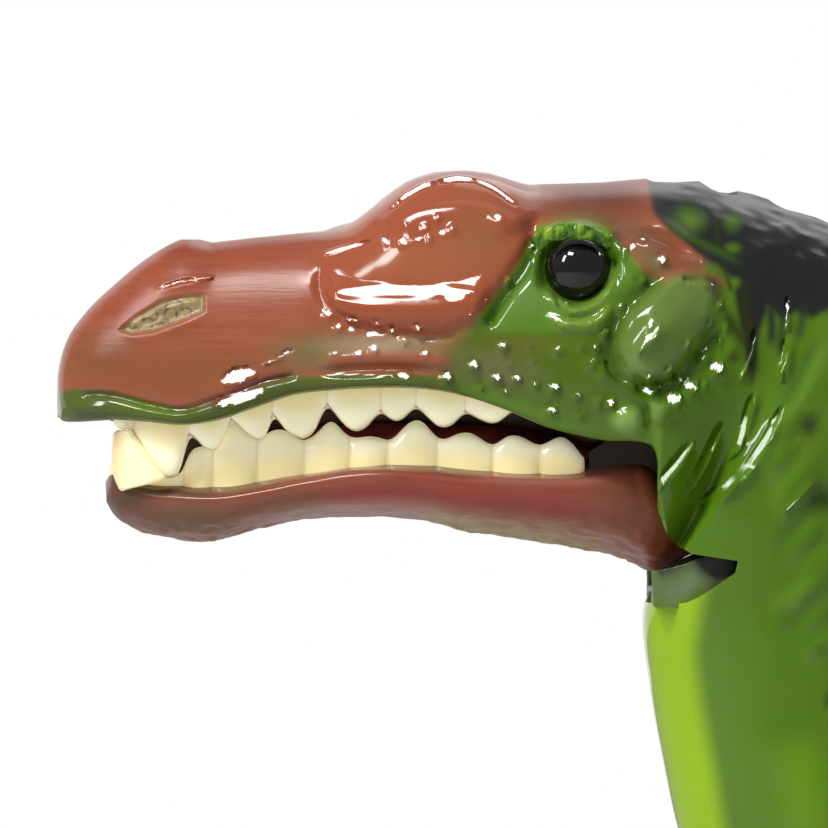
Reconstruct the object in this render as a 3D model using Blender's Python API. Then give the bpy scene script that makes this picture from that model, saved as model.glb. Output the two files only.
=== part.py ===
"""Jointed toy dinosaur: hollow moulded skin halves, biting jaw, swinging limbs and a turning tail.

Metres, +Z up. The figure faces -X and its own left flank is on the -Y side. The soles stand on
z = 0, and the origin lies under the middle of the figure.
"""
import math
from collections import namedtuple

import bmesh
import bpy
from mathutils import Matrix, Vector
from mathutils.bvhtree import BVHTree

# Driving lengths of the whole figure
HEAD_LENGTH = 0.075
HEAD_WIDTH = 0.0385
LIP_RISE = 0.085
NECK_WIDTH = 0.0285
NECK_BASE_BACK = 0.123
HIP_HEIGHT = 0.127
TORSO_LENGTH = 0.109
TORSO_DEPTH = 0.064
TORSO_WIDTH = 0.049
TAIL_LENGTH = 0.204
TAIL_DEPTH = 0.030
TAIL_WIDTH = 0.029
LEG_WIDTH = 0.024
FOOT_LENGTH = 0.056
FOOT_WIDTH = 0.034
ARM_LENGTH = 0.044
ARM_THICKNESS = 0.0088

# Moulding sizes
WALL = 0.0018
JAW_FLOOR = 0.0020
CLEARANCE = 0.0003
OVERRUN = 0.004

# Side view of the head, read off the photograph in its own pixels
HEAD_PIXELS = 682
SNOUT_PIXEL = (58, 420)
NECK_ANCHOR_PIXEL = (700, 420)
# Top point and lower point of each section in pixels, then half its width as a share
HEAD_SECTION_PIXELS_AND_SHARES = (
    ((57, 404), (58, 417), 0.0),
    ((58, 372), (63, 421), 0.080),
    ((65, 338), (75, 422), 0.138),
    ((79, 310), (91, 421), 0.178),
    ((101, 283), (113, 420), 0.212),
    ((135, 255), (142, 422), 0.242),
    ((178, 239), (182, 425), 0.266),
    ((212, 242), (214, 421), 0.282),
    ((255, 237), (252, 409), 0.298),
    ((300, 233), (294, 395), 0.318),
    ((343, 226), (338, 390), 0.342),
    ((373, 206), (380, 388), 0.366),
    ((406, 182), (422, 389), 0.392),
    ((450, 170), (464, 396), 0.418),
    ((492, 173), (506, 410), 0.442),
    ((538, 185), (550, 428), 0.465),
    ((590, 183), (602, 440), 0.484),
    ((645, 180), (652, 447), 0.496),
    ((700, 182), (658, 495), 0.496),
    ((768, 203), (666, 533), 0.484),
    ((842, 229), (666, 560), 0.455),
)
THROAT_TOP_PIXEL = (905, 265)
THROAT_LOW_PIXEL = (647, 603)
THROAT_HALF_WIDTH_SHARE = 0.405
JAW_HINGE_PIXEL = (640, 428)
EYE_PIXEL = (577, 271)
# Slit between the cheek skin and the neck, where the jaw's rear drops in
THROAT_SLIT_PIXELS = ((610, 556), (692, 556), (738, 563), (735, 572), (707, 579), (648, 600), (610, 600))

# Cross-sections of the skin from its top to its lower edge: how far down, how far out
OPEN_SECTION_SHARES = ((0, 0), (0.015, 0.30), (0.07, 0.55), (0.18, 0.75), (0.36, 0.90),
                       (0.56, 0.98), (0.74, 1.0), (0.89, 0.97), (1, 0.92))
CLOSED_SECTION_SHARES = ((0, 0), (0.03, 0.36), (0.11, 0.65), (0.25, 0.88), (0.44, 0.99),
                         (0.62, 0.98), (0.80, 0.81), (0.94, 0.46), (1, 0))
LIMB_SECTION_SHARES = ((0, 0), (0.03, 0.44), (0.12, 0.74), (0.27, 0.93), (0.45, 1.0),
                       (0.60, 0.99), (0.78, 0.86), (0.93, 0.52), (1, 0))
JAW_SECTION_SHARES = ((0, 0), (0, 0.45), (0, 0.88), (0.10, 1.0), (0.40, 1.0),
                      (0.66, 0.88), (0.86, 0.62), (0.97, 0.30), (1, 0))
BLOCK_SECTION_SHARES = ((0, 0), (0, 0.50), (0, 0.92), (0.05, 1.0), (0.35, 1.0),
                        (0.65, 1.0), (0.95, 1.0), (1, 0.92), (1, 0))
TONGUE_SECTION_SHARES = ((0, 0), (0.03, 0.50), (0.14, 0.84), (0.30, 0.98), (0.50, 1.0),
                         (0.70, 1.0), (0.92, 0.98), (1, 0.86), (1, 0))
LIP_EDGE_SHARE = 0.92

# Torso sections behind the neck, from the hip: top x and z, lower x and z, half width
TORSO_SECTION_SHARES = (
    (-0.624, 0.641, -1.000, 0.133, 0.378),
    (-0.528, 0.578, -0.913, -0.055, 0.404),
    (-0.422, 0.555, -0.789, -0.242, 0.439),
    (-0.312, 0.547, -0.633, -0.375, 0.476),
    (-0.202, 0.539, -0.459, -0.445, 0.496),
    (-0.092, 0.516, -0.284, -0.453, 0.500),
    (0.018, 0.484, -0.119, -0.398, 0.496),
    (0.128, 0.438, 0.037, -0.328, 0.459),
    (0.248, 0.367, 0.193, -0.250, 0.378),
)
NECK_SECTIONS = 7
CHEEK_RUNG = 16
NECK_TOP_HANDLE_SHARES = ((0.43, -0.20), (-0.34, 0.13))
NECK_LOW_HANDLE_SHARES = ((0.045, -0.32), (-0.19, 0.24))

# Tail sections from its root: top x and z, lower x and z, half width
TAIL_SECTION_SHARES = (
    (0.007, 0.500, -0.007, -0.500, 0.500),
    (0.069, 0.402, 0.059, -0.465, 0.441),
    (0.142, 0.302, 0.135, -0.448, 0.386),
    (0.225, 0.185, 0.221, -0.465, 0.338),
    (0.314, 0.068, 0.309, -0.498, 0.293),
    (0.412, -0.048, 0.407, -0.532, 0.252),
    (0.520, -0.148, 0.515, -0.548, 0.210),
    (0.632, -0.215, 0.627, -0.542, 0.172),
    (0.745, -0.232, 0.740, -0.488, 0.134),
    (0.853, -0.198, 0.848, -0.382, 0.097),
    (0.941, -0.132, 0.939, -0.238, 0.059),
    (1.000, -0.050, 1.000, -0.100, 0.022),
)
TAIL_ROOT_BACK = 0.039
TAIL_ROOT_RISE = 0.0035
TAIL_GAP = 0.0005
TAIL_THIN_WALL_SHARE = 0.36
TAIL_HOLLOW_RUNGS = 9

# Leg sections from thigh to ankle, in hip heights: front x and z, rear x and z, half width
LEG_SECTION_SHARES = (
    (-0.031, 1.181, 0.055, 1.173, 0.000),
    (-0.110, 1.157, 0.130, 1.142, 0.260),
    (-0.173, 1.102, 0.177, 1.071, 0.400),
    (-0.217, 1.016, 0.197, 0.969, 0.475),
    (-0.244, 0.921, 0.181, 0.866, 0.500),
    (-0.264, 0.827, 0.118, 0.768, 0.490),
    (-0.276, 0.744, 0.039, 0.689, 0.455),
    (-0.272, 0.665, 0.000, 0.630, 0.425),
    (-0.244, 0.591, 0.012, 0.594, 0.400),
    (-0.197, 0.528, 0.039, 0.563, 0.375),
    (-0.142, 0.472, 0.075, 0.524, 0.345),
    (-0.087, 0.421, 0.114, 0.469, 0.315),
    (-0.047, 0.370, 0.142, 0.406, 0.295),
    (-0.028, 0.319, 0.146, 0.339, 0.285),
    (-0.035, 0.264, 0.118, 0.276, 0.280),
    (-0.063, 0.209, 0.079, 0.213, 0.285),
    (-0.094, 0.157, 0.047, 0.150, 0.300),
    (-0.126, 0.110, 0.028, 0.094, 0.320),
)

SHIN_RUNG = 12

# Hip and shoulder bearings
HIP_HUB_RADIUS = 0.0062
HIP_COLLAR_RADIUS = 0.0112
HIP_COLLAR_DEPTH = 0.0064
COLLAR_PROUD = 0.0012
HIP_WASHER_RADIUS = 0.0079
WASHER_THICKNESS = 0.0014
SHOULDER_BACK_SHARE = -0.789
SHOULDER_RISE_SHARE = 0.312
SHOULDER_HUB_RADIUS = 0.0034
SHOULDER_COLLAR_RADIUS = 0.0062
SHOULDER_COLLAR_DEPTH = 0.0048
SHOULDER_WASHER_RADIUS = 0.0052
HUB_PROUD = 0.0003

# Screws: one pattern, three lengths
SCREW_HEAD_RADIUS = 0.0024
SCREW_HEAD_HEIGHT = 0.0016
SCREW_SHANK_RADIUS = 0.0011
SCREW_SLOT_DEPTH_SHARE = 0.5
BODY_SCREW_GRIP = 0.005
BODY_SCREW_BITE = 0.008
WELL_WALL = 0.0013
PILOT_WALL = 0.0018
HUB_SCREW_BITE = 0.008
BLIND_END = 0.001
BOSS_RECESS = 0.0002

# Jaw
JAW_SECTION_PIXELS_AND_SHARES = (
    ((105, 482), (106, 502), 0.025),
    ((110, 475), (115, 517), 0.085),
    ((127, 478), (135, 529), 0.135),
    ((150, 483), (160, 537), 0.172),
    ((180, 485), (190, 541), 0.205),
    ((215, 486), (220, 540), 0.228),
    ((260, 481), (260, 528), 0.250),
    ((310, 473), (310, 519), 0.275),
    ((360, 465), (360, 517), 0.300),
    ((410, 462), (415, 519), 0.323),
    ((460, 465), (466, 531), 0.343),
    ((510, 468), (520, 539), 0.358),
    ((560, 467), (575, 547), 0.368),
    ((600, 461), (625, 559), 0.374),
    ((628, 455), (655, 568), 0.376),
    ((643, 455), (677, 556), 0.376),
)
JAW_PIN_RADIUS = 0.0015
JAW_EAR_RADIUS = 0.0034
JAW_EAR_THICKNESS = 0.0020
JAW_TROUGH_SHARE = 0.38
JAW_TROUGH_FIRST = 4
JAW_EAR_PIXELS = ((674, 470), (674, 520), (600, 505), (604, 462))
JAW_EAR_ARC_SHARES = (-0.02, 0.54)
JAW_BOSS_RADIUS = 0.0034
PALATE_THICKNESS = 0.0016
PALATE_PIXELS = ((86, 402), (150, 403), (210, 399), (252, 390), (294, 380), (338, 375), (400, 373),
                 (464, 379), (506, 392), (550, 408), (596, 418))
LINER_RADIUS = 0.0172
LINER_THICKNESS = 0.0013
LINER_START_ANGLE = 2
LINER_END_ANGLE = 96
LINER_STEPS = 10
EAR_ARC_STEPS = 10

# Teeth: rear place along the jaw in pixels, tip pixel height, base half length in pixels
UPPER_TOOTH_PIXELS = ((162, 473, 25), (212, 450, 19), (260, 440, 19), (303, 439, 21), (354, 431, 19),
                      (397, 423, 18), (444, 427, 20), (489, 424, 17))
LOWER_TOOTH_PIXELS = ((192, 446, 20), (232, 424, 20), (280, 430, 20), (328, 423, 20),
                      (372, 436, 19), (418, 421, 20), (467, 434, 21), (514, 437, 20), (556, 440, 17))
TOOTH_THICKNESS = 0.0020
TOOTH_TIP_SHARE = 0.16
TOOTH_ROOT_SHARE = 0.5
TOOTH_SIDES = 6
GUM_THICKNESS = 0.0023
GUM_HEIGHTS = (0.0026, 0.0012)
GUM_FRONT_SHARES = ((0.92, 0.30), (0.60, 0.62), (0.0, 0.78))
FRONT_TOOTH_SHARES = ((-0.66, 0.56), (-0.22, 0.72), (0.22, 0.72), (0.66, 0.56))
FRONT_TOOTH_LENGTH = 0.0034
FRONT_TOOTH_HALF_SHARE = 0.17
UPPER_GUM_RANGE_PIXELS = (128, 512)
LOWER_GUM_RANGE_PIXELS = (168, 582)
GUM_STEP_PIXELS = 40
TONGUE_RISE = 0.0022
TONGUE_TRIM = 2

# Eyes
EYE_RADIUS = 0.0034
EYE_SINK = 0.0016
EYE_POST_RADIUS = 0.0018
EYE_POST_LENGTH = 0.0040

# Screw places in the body: head ones in pixels, the rest as shares of torso length and depth
HEAD_SCREW_PIXELS = ((330, 305), (690, 300))
TORSO_SCREW_SHARES = ((-0.945, 0.88), (-0.905, 0.20), (-0.46, -0.24), (-0.34, 0.36), (0.185, 0.06))
LEG_SCREW_SHARES = ((-0.150, 0.770), (0.030, 0.440))
TAIL_SCREW_SHARES = (0.105, 0.330)
TAIL_BOSS_RUNGS = 8

# Arm path from the shoulder in arm lengths, then the radius there in arm thicknesses
ARM_PATH_SHARES = ((0.0, 0.10, 0.40), (0.02, -0.02, 0.52), (0.10, -0.20, 0.48), (0.14, -0.36, 0.40),
                   (0.06, -0.49, 0.36), (-0.10, -0.56, 0.32), (-0.26, -0.62, 0.29), (-0.36, -0.66, 0.33),
                   (-0.44, -0.70, 0.28))
FINGER_SPREAD_DEGREES = (-24, 4)
FINGER_LENGTH_SHARE = 0.26
FINGER_RADIUS_SHARE = 0.17
FINGER_START_SHARES = (-0.40, -0.68)
FINGER_DROOP_DEGREES = 22
FINGER_TIP_SHARE = 0.15
SHOULDER_DISC_SHARE = 0.80
ARM_SHIFT = 0.0002

# Foot: toes by their turn from straight ahead, their length and their thickness
TOE_TURNS_AND_SHARES = ((-24, 0.66, 0.88), (0, 0.80, 1.0), (24, 0.66, 0.88))
TOE_RADIUS_SHARE = 0.165
TOE_RING_SHARES = ((0.0, 0.80, 0.50), (0.16, 1.05, 0.62), (0.34, 0.90, 0.55), (0.50, 1.0, 0.60),
                   (0.66, 0.80, 0.50), (0.74, 0.62, 0.46), (0.80, 0.50, 0.44), (0.92, 0.26, 0.26),
                   (1.0, 0.08, 0.06))
TOE_ROOT_SHARE = 0.14
TOE_RING_SIDES = 8
FOOT_SECTION_SHARES = ((0.0, 1.0, 0.0, 1.0, 0.230), (-0.09, 0.66, 0.03, 0.66, 0.30),
                       (-0.13, 0.30, 0.05, 0.30, 0.36), (-0.12, -0.12, 0.04, -0.12, 0.35))
FOOT_POST_SHARE = 0.62

# Spool that the tail turns on
SPOOL_FLANGE_RADIUS = 0.0085
SPOOL_FLANGE = 0.0020
SPOOL_NECK_RADIUS = 0.0055
BULKHEAD = 0.0024
END_WALL_SET_IN = 0.0008
SPOOL_PLUG_RADIUS = 0.0100
SPOOL_PLUG = 0.0060

# Figure places worked out from the driving lengths
TAIL_ROOT = Vector((TAIL_ROOT_BACK, HIP_HEIGHT + TAIL_ROOT_RISE))
PIXEL = HEAD_LENGTH / HEAD_PIXELS
LIP_HEIGHT = HIP_HEIGHT + LIP_RISE
HEAD_ANCHOR_X = -NECK_BASE_BACK
HEAD_ANCHOR_PIXEL = NECK_ANCHOR_PIXEL
HALF_SEAM = CLEARANCE / 2

COLOURS = {
    "skin": (0.42, 0.13, 0.06),
    "leg": (0.10, 0.19, 0.05),
    "tail": (0.09, 0.16, 0.05),
    "jaw": (0.30, 0.10, 0.06),
    "tooth": (0.95, 0.83, 0.50),
    "mouth": (0.22, 0.03, 0.03),
    "eye": (0.02, 0.02, 0.02),
    "throat": (0.12, 0.17, 0.06),
    "steel": (0.60, 0.60, 0.62),
    "washer": (0.85, 0.85, 0.82),
}

# One section: its top and lower point, its half width, how far it is closed below, and whether its
# wall is measured in its own plane
Rung = namedtuple("Rung", "top low half_width closed square", defaults=(False,))


def clear_scene():
    """Remove every object that the scene starts with."""
    for thing in list(bpy.data.objects):
        bpy.data.objects.remove(thing, do_unlink=True)


def new_collection(name):
    collection = bpy.data.collections.new(name)
    bpy.context.scene.collection.children.link(collection)
    return collection


def plastic(name, metallic=0.0, roughness=0.3):
    """A Principled material in one of the figure's colours, made once."""
    if name in bpy.data.materials:
        return bpy.data.materials[name]
    material = bpy.data.materials.new(name)
    material.use_nodes = True
    shader = material.node_tree.nodes["Principled BSDF"]
    shader.inputs["Base Color"].default_value = (*COLOURS[name], 1)
    shader.inputs["Roughness"].default_value = roughness
    shader.inputs["Metallic"].default_value = metallic
    return material


def head_point(pixel):
    """A photograph pixel as x and z, scaled about the place where the head meets the neck."""
    across = (pixel[0] - HEAD_ANCHOR_PIXEL[0]) * PIXEL
    rise = (HEAD_ANCHOR_PIXEL[1] - pixel[1]) * PIXEL
    return Vector((HEAD_ANCHOR_X + across, LIP_HEIGHT + rise))


def hip_point(length_share, depth_share):
    """A torso place as x and z, from the hip axis."""
    return Vector((length_share * TORSO_LENGTH, HIP_HEIGHT + depth_share * TORSO_DEPTH))


def bezier(start, end, handles, turn):
    """A point along a cubic curve whose handles are shares of the distance between its ends."""
    reach = (end - start).length
    first = start + Vector(handles[0]) * reach
    second = end + Vector(handles[1]) * reach
    rest = 1 - turn
    return (start * rest ** 3 + first * (3 * rest * rest * turn)
            + second * (3 * rest * turn * turn) + end * turn ** 3)


def body_rungs():
    """Sections of head, neck and torso, from the snout tip to the tail joint."""
    rungs = []
    for number, (top, low, share) in enumerate(HEAD_SECTION_PIXELS_AND_SHARES):
        square = number >= CHEEK_RUNG
        rungs.append(Rung(head_point(top), head_point(low), share * HEAD_WIDTH, 0.0, square))
    neck_top = head_point(THROAT_TOP_PIXEL)
    neck_low = head_point(THROAT_LOW_PIXEL)
    half_width = THROAT_HALF_WIDTH_SHARE * HEAD_WIDTH
    rungs.append(Rung(neck_top, neck_low, half_width, 1.0, True))
    x_top, z_top, x_low, z_low, share = TORSO_SECTION_SHARES[0]
    chest = Rung(hip_point(x_top, z_top), hip_point(x_low, z_low), share * TORSO_WIDTH, 1.0)
    for index in range(1, NECK_SECTIONS):
        turn = index / NECK_SECTIONS
        top = bezier(neck_top, chest.top, NECK_TOP_HANDLE_SHARES, turn)
        low = bezier(neck_low, chest.low, NECK_LOW_HANDLE_SHARES, turn)
        ends = half_width * (1 - turn) ** 2 + chest.half_width * turn ** 2
        middle = NECK_WIDTH / 2 * 2 * turn * (1 - turn)
        rungs.append(Rung(top, low, ends + middle, 1.0, True))
    for x_top, z_top, x_low, z_low, share in TORSO_SECTION_SHARES:
        rungs.append(Rung(hip_point(x_top, z_top), hip_point(x_low, z_low), share * TORSO_WIDTH, 1.0, True))
    rungs.append(tail_rung(TAIL_SECTION_SHARES[0], -TAIL_GAP, True))
    return rungs


def tail_rung(shares, shift, square):
    """One tail section; a shift moves it along the tail's axis."""
    x_top, z_top, x_low, z_low, width = shares
    top = TAIL_ROOT + Vector((x_top * TAIL_LENGTH + shift, z_top * TAIL_DEPTH))
    low = TAIL_ROOT + Vector((x_low * TAIL_LENGTH + shift, z_low * TAIL_DEPTH))
    return Rung(top, low, width * TAIL_WIDTH, 1.0, square)


def tail_rungs():
    return [tail_rung(shares, 0, False) for shares in TAIL_SECTION_SHARES]


def leg_rungs():
    rungs = []
    for number, (x_front, z_front, x_rear, z_rear, share) in enumerate(LEG_SECTION_SHARES):
        front = Vector((x_front, z_front)) * HIP_HEIGHT
        rear = Vector((x_rear, z_rear)) * HIP_HEIGHT
        rungs.append(Rung(rear, front, share * LEG_WIDTH, 1.0, number >= SHIN_RUNG))
    return rungs


def jaw_rungs():
    rungs = []
    for top, low, share in JAW_SECTION_PIXELS_AND_SHARES:
        rungs.append(Rung(head_point(top), head_point(low), share * HEAD_WIDTH, 1.0))
    return rungs


def section_points(rung, closed_shares):
    """Half of a section, on the +Y side, from its top point to its lower edge."""
    points = []
    run = rung.low - rung.top
    for opened, closed in zip(OPEN_SECTION_SHARES, closed_shares):
        down = opened[0] + (closed[0] - opened[0]) * rung.closed
        out = opened[1] + (closed[1] - opened[1]) * rung.closed
        place = rung.top + run * down
        points.append(Vector((place.x, out * rung.half_width, place.y)))
    return points


def mirrored(point):
    return Vector((point.x, -point.y, point.z))


def rung_axis(rung):
    """The centre and the unit direction square to a section, pointing to the tail."""
    centre = (rung.top + rung.low) / 2
    run = (rung.low - rung.top).normalized()
    return centre, Vector((-run.y, run.x)) if run.y < 0 else Vector((run.y, -run.x))


def inset_grid(rungs, insets, closed_shares):
    """Half-skin points moved inwards by each section's inset, kept on the middle plane."""
    grid = [section_points(rung, closed_shares) for rung in rungs]
    last_row, last = len(grid) - 1, len(grid[0]) - 1
    result = []
    for row, (rung, points) in enumerate(zip(rungs, grid)):
        before, after = grid[max(row - 1, 0)], grid[min(row + 1, last_row)]
        neighbour = after if row < last_row else before
        centre, axis = rung_axis(rung)
        moved = []
        for column, point in enumerate(points):
            on_plane = rung.closed == 1.0 and column == last
            left = points[column - 1] if column else mirrored(points[1])
            right = mirrored(points[last - 1]) if on_plane else points[min(column + 1, last)]
            along = Vector((axis.x, 0, axis.y)) if rung.square else after[column] - before[column]
            outward = point - Vector((centre.x, 0, centre.y))
            if rung.half_width == 0:
                along = Vector((0, 1, 0))
                outward = point - neighbour[column]
            normal = along.cross(right - left)
            if column == 0 or on_plane or rung.half_width == 0:
                normal.y = 0
            normal.normalize()
            if normal.dot(outward) < 0:
                normal.negate()
            moved.append(point - normal * insets[row])
        result.append(moved)
    return result


def seam_side(point, side, recess=0.0):
    """Place a +Y point on one side of the moulding seam."""
    return Vector((point.x, side * (max(point.y, recess) + HALF_SEAM), point.z))


def finish_mesh(name, work, faceted=False):
    """Weld, turn outwards and store a mesh, in triangles where its faces aren't flat."""
    bmesh.ops.remove_doubles(work, verts=work.verts, dist=CLEARANCE / 100)
    bmesh.ops.dissolve_degenerate(work, edges=work.edges, dist=CLEARANCE / 100)
    if faceted:
        bmesh.ops.triangulate(work, faces=work.faces)
    bmesh.ops.recalc_face_normals(work, faces=work.faces)
    if work.calc_volume(signed=True) < 0:
        bmesh.ops.reverse_faces(work, faces=work.faces)
    mesh = bpy.data.meshes.new(name)
    work.to_mesh(mesh)
    work.free()
    return mesh


def add_object(name, mesh, collection):
    thing = bpy.data.objects.new(name, mesh)
    collection.objects.link(thing)
    return thing


def shell_mesh(name, rungs, insets, side, closed_shares=CLOSED_SECTION_SHARES):
    """One moulded half: outer skin, inner skin and the rims that join them."""
    outer = inset_grid(rungs, [0.0] * len(rungs), closed_shares)
    inner = inset_grid(rungs, insets, closed_shares)
    work = bmesh.new()
    skins = []
    for grid in (outer, inner):
        skins.append([[work.verts.new(seam_side(p, side)) for p in row] for row in grid])
    rows, columns = len(outer), len(outer[0])
    for skin in skins:
        for row in range(rows - 1):
            for column in range(columns - 1):
                work.faces.new((skin[row][column], skin[row + 1][column],
                                skin[row + 1][column + 1], skin[row][column + 1]))
    for row in range(rows - 1):
        for column in (0, columns - 1):
            work.faces.new((skins[0][row][column], skins[0][row + 1][column],
                            skins[1][row + 1][column], skins[1][row][column]))
    for column in range(columns - 1):
        for row in (0, rows - 1):
            work.faces.new((skins[0][row][column], skins[0][row][column + 1],
                            skins[1][row][column + 1], skins[1][row][column]))
    return finish_mesh(name, work, True)


def core_mesh(name, rungs, insets, side, closed_shares=CLOSED_SECTION_SHARES, recess=0.0):
    """The solid inside a skin: one side of the seam, less a recess, or both where side is 0."""
    rings = []
    for row in inset_grid(rungs, insets, closed_shares):
        if side:
            ring = [seam_side(p, side, recess) for p in row]
            ring.append(seam_side(Vector((row[-1].x, 0, row[-1].z)), side, recess))
        else:
            ring = list(row) + [mirrored(p) for p in reversed(row)]
        rings.append(ring)
    return ring_mesh(name, rings)


def cylinder_mesh(name, parts, segments=12):
    """Cylinders along Y, each given by x and z, radius and its two ends."""
    work = bmesh.new()
    for place, radius, start, end in parts:
        turn = Matrix.Rotation(math.radians(90), 4, "X")
        move = Matrix.Translation((place[0], (start + end) / 2, place[1]))
        bmesh.ops.create_cone(work, cap_ends=True, segments=segments, radius1=radius, radius2=radius,
                              depth=abs(end - start), matrix=move @ turn)
    return finish_mesh(name, work)


def box_mesh(name, low, high):
    work = bmesh.new()
    size = Vector(high) - Vector(low)
    centre = (Vector(high) + Vector(low)) / 2
    matrix = Matrix.Translation(centre) @ Matrix.Diagonal((*size, 1))
    bmesh.ops.create_cube(work, size=1, matrix=matrix)
    return finish_mesh(name, work)


def prism_mesh(name, outline, start, end):
    """An outline in x and z, carried across from one y to another."""
    work = bmesh.new()
    rings = []
    for y in (start, end):
        rings.append([work.verts.new((p[0], y, p[1])) for p in outline])
    work.faces.new(rings[0])
    work.faces.new(rings[1])
    for index in range(len(outline)):
        following = (index + 1) % len(outline)
        work.faces.new((rings[0][index], rings[0][following], rings[1][following], rings[1][index]))
    return finish_mesh(name, work)


def ring_mesh(name, rings):
    """A solid through rings of equal counts, capped at both ends."""
    work = bmesh.new()
    loops = [[work.verts.new(p) for p in ring] for ring in rings]
    size = len(loops[0])
    for first, second in zip(loops, loops[1:]):
        for index in range(size):
            following = (index + 1) % size
            work.faces.new((first[index], second[index], second[following], first[following]))
    work.faces.new(loops[0])
    work.faces.new(loops[-1])
    return finish_mesh(name, work, True)


def turned_mesh(name, profile, segments=20):
    """A solid turned about the Y axis from radius and y pairs, top to bottom."""
    work = bmesh.new()
    points = [work.verts.new((radius, y, 0)) for radius, y in profile]
    edges = [work.edges.new(pair) for pair in zip(points, points[1:])]
    if profile[0][0] > 0:
        edges.append(work.edges.new((points[-1], points[0])))
    bmesh.ops.spin(work, geom=points + edges, cent=(0, 0, 0), axis=(0, 1, 0),
                   angle=math.tau, steps=segments, use_merge=True)
    return finish_mesh(name, work)


class Maker:
    """Makes objects, keeps the cutters apart and puts each piece in its place."""

    def __init__(self):
        self.parts = new_collection("toy_dinosaur")
        self.cutters = new_collection("cutters")
        tail_end = TAIL_ROOT.x + TAIL_LENGTH
        snout = head_point(SNOUT_PIXEL).x
        self.shift = Vector((-(tail_end + snout) / 2, 0, 0))

    def tool(self, mesh):
        thing = add_object(mesh.name, mesh, self.cutters)
        thing.location = self.shift
        thing.hide_render = True
        thing.display_type = "WIRE"
        return thing

    def piece(self, mesh, material, pivot=(0, 0, 0)):
        """A sub-part whose origin is moved to its own axis."""
        thing = add_object(mesh.name, mesh, self.parts)
        mesh.transform(Matrix.Translation(-Vector(pivot)))
        thing.location = Vector(pivot) + self.shift
        mesh.materials.append(material)
        return thing

    def combine(self, thing, tool, operation, solver="EXACT"):
        modifier = thing.modifiers.new(operation.lower(), "BOOLEAN")
        modifier.operation = operation
        modifier.object = tool
        modifier.solver = solver


def flank_finder(rungs, closed_shares=CLOSED_SECTION_SHARES):
    """A function that gives the skin's half width at an x and z."""
    mesh = core_mesh("flank_probe", rungs[1:], [0.0] * (len(rungs) - 1), 0, closed_shares)
    probe = bmesh.new()
    probe.from_mesh(mesh)
    tree = BVHTree.FromBMesh(probe)
    probe.free()
    bpy.data.meshes.remove(mesh)

    def flank(x, z):
        start = Vector((x, TORSO_WIDTH * 2, z))
        hit = tree.ray_cast(start, Vector((0, -1, 0)))[0]
        return hit.y if hit is not None else WALL

    return flank


def screw(maker, name, place, seat, bite, direction=1):
    """A round-head screw along Y; its head is on the side that direction names."""
    top = seat + direction * (CLEARANCE + SCREW_HEAD_HEIGHT)
    under = seat + direction * CLEARANCE
    slot = SCREW_HEAD_HEIGHT * SCREW_SLOT_DEPTH_SHARE
    end = seat - direction * bite
    profile = ((0, top - direction * slot), (SCREW_SHANK_RADIUS, top), (SCREW_HEAD_RADIUS, top),
               (SCREW_HEAD_RADIUS, under), (SCREW_SHANK_RADIUS, under),
               (SCREW_SHANK_RADIUS, end + direction * SCREW_SHANK_RADIUS), (0, end))
    mesh = turned_mesh(name, profile, 8)
    mesh.transform(Matrix.Translation((place[0], 0, place[1])))
    return maker.piece(mesh, plastic("steel", 1.0, 0.35), (place[0], 0, place[1]))


def washer(maker, name, place, radius, start, end):
    profile = ((radius, end), (radius, start), (SCREW_SHANK_RADIUS + CLEARANCE, start),
               (SCREW_SHANK_RADIUS + CLEARANCE, end))
    mesh = turned_mesh(name, profile, 16)
    mesh.transform(Matrix.Translation((place[0], 0, place[1])))
    return maker.piece(mesh, plastic("washer", 0.0, 0.5), (place[0], 0, place[1]))


def screw_places():
    places = [head_point(pixel) for pixel in HEAD_SCREW_PIXELS]
    places += [hip_point(*shares) for shares in TORSO_SCREW_SHARES]
    return places


def boss_start():
    """Where a boss begins, a little behind the seam's plane."""
    return HALF_SEAM + BOSS_RECESS


def shoulder_place():
    return hip_point(SHOULDER_BACK_SHARE, SHOULDER_RISE_SHARE)


def hip_face():
    """Half the distance between the outer faces of the two hip collars."""
    return TORSO_WIDTH / 2 + COLLAR_PROUD


def shoulder_face(flank):
    place = shoulder_place()
    return flank(place.x, place.y) + COLLAR_PROUD + WALL


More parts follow.
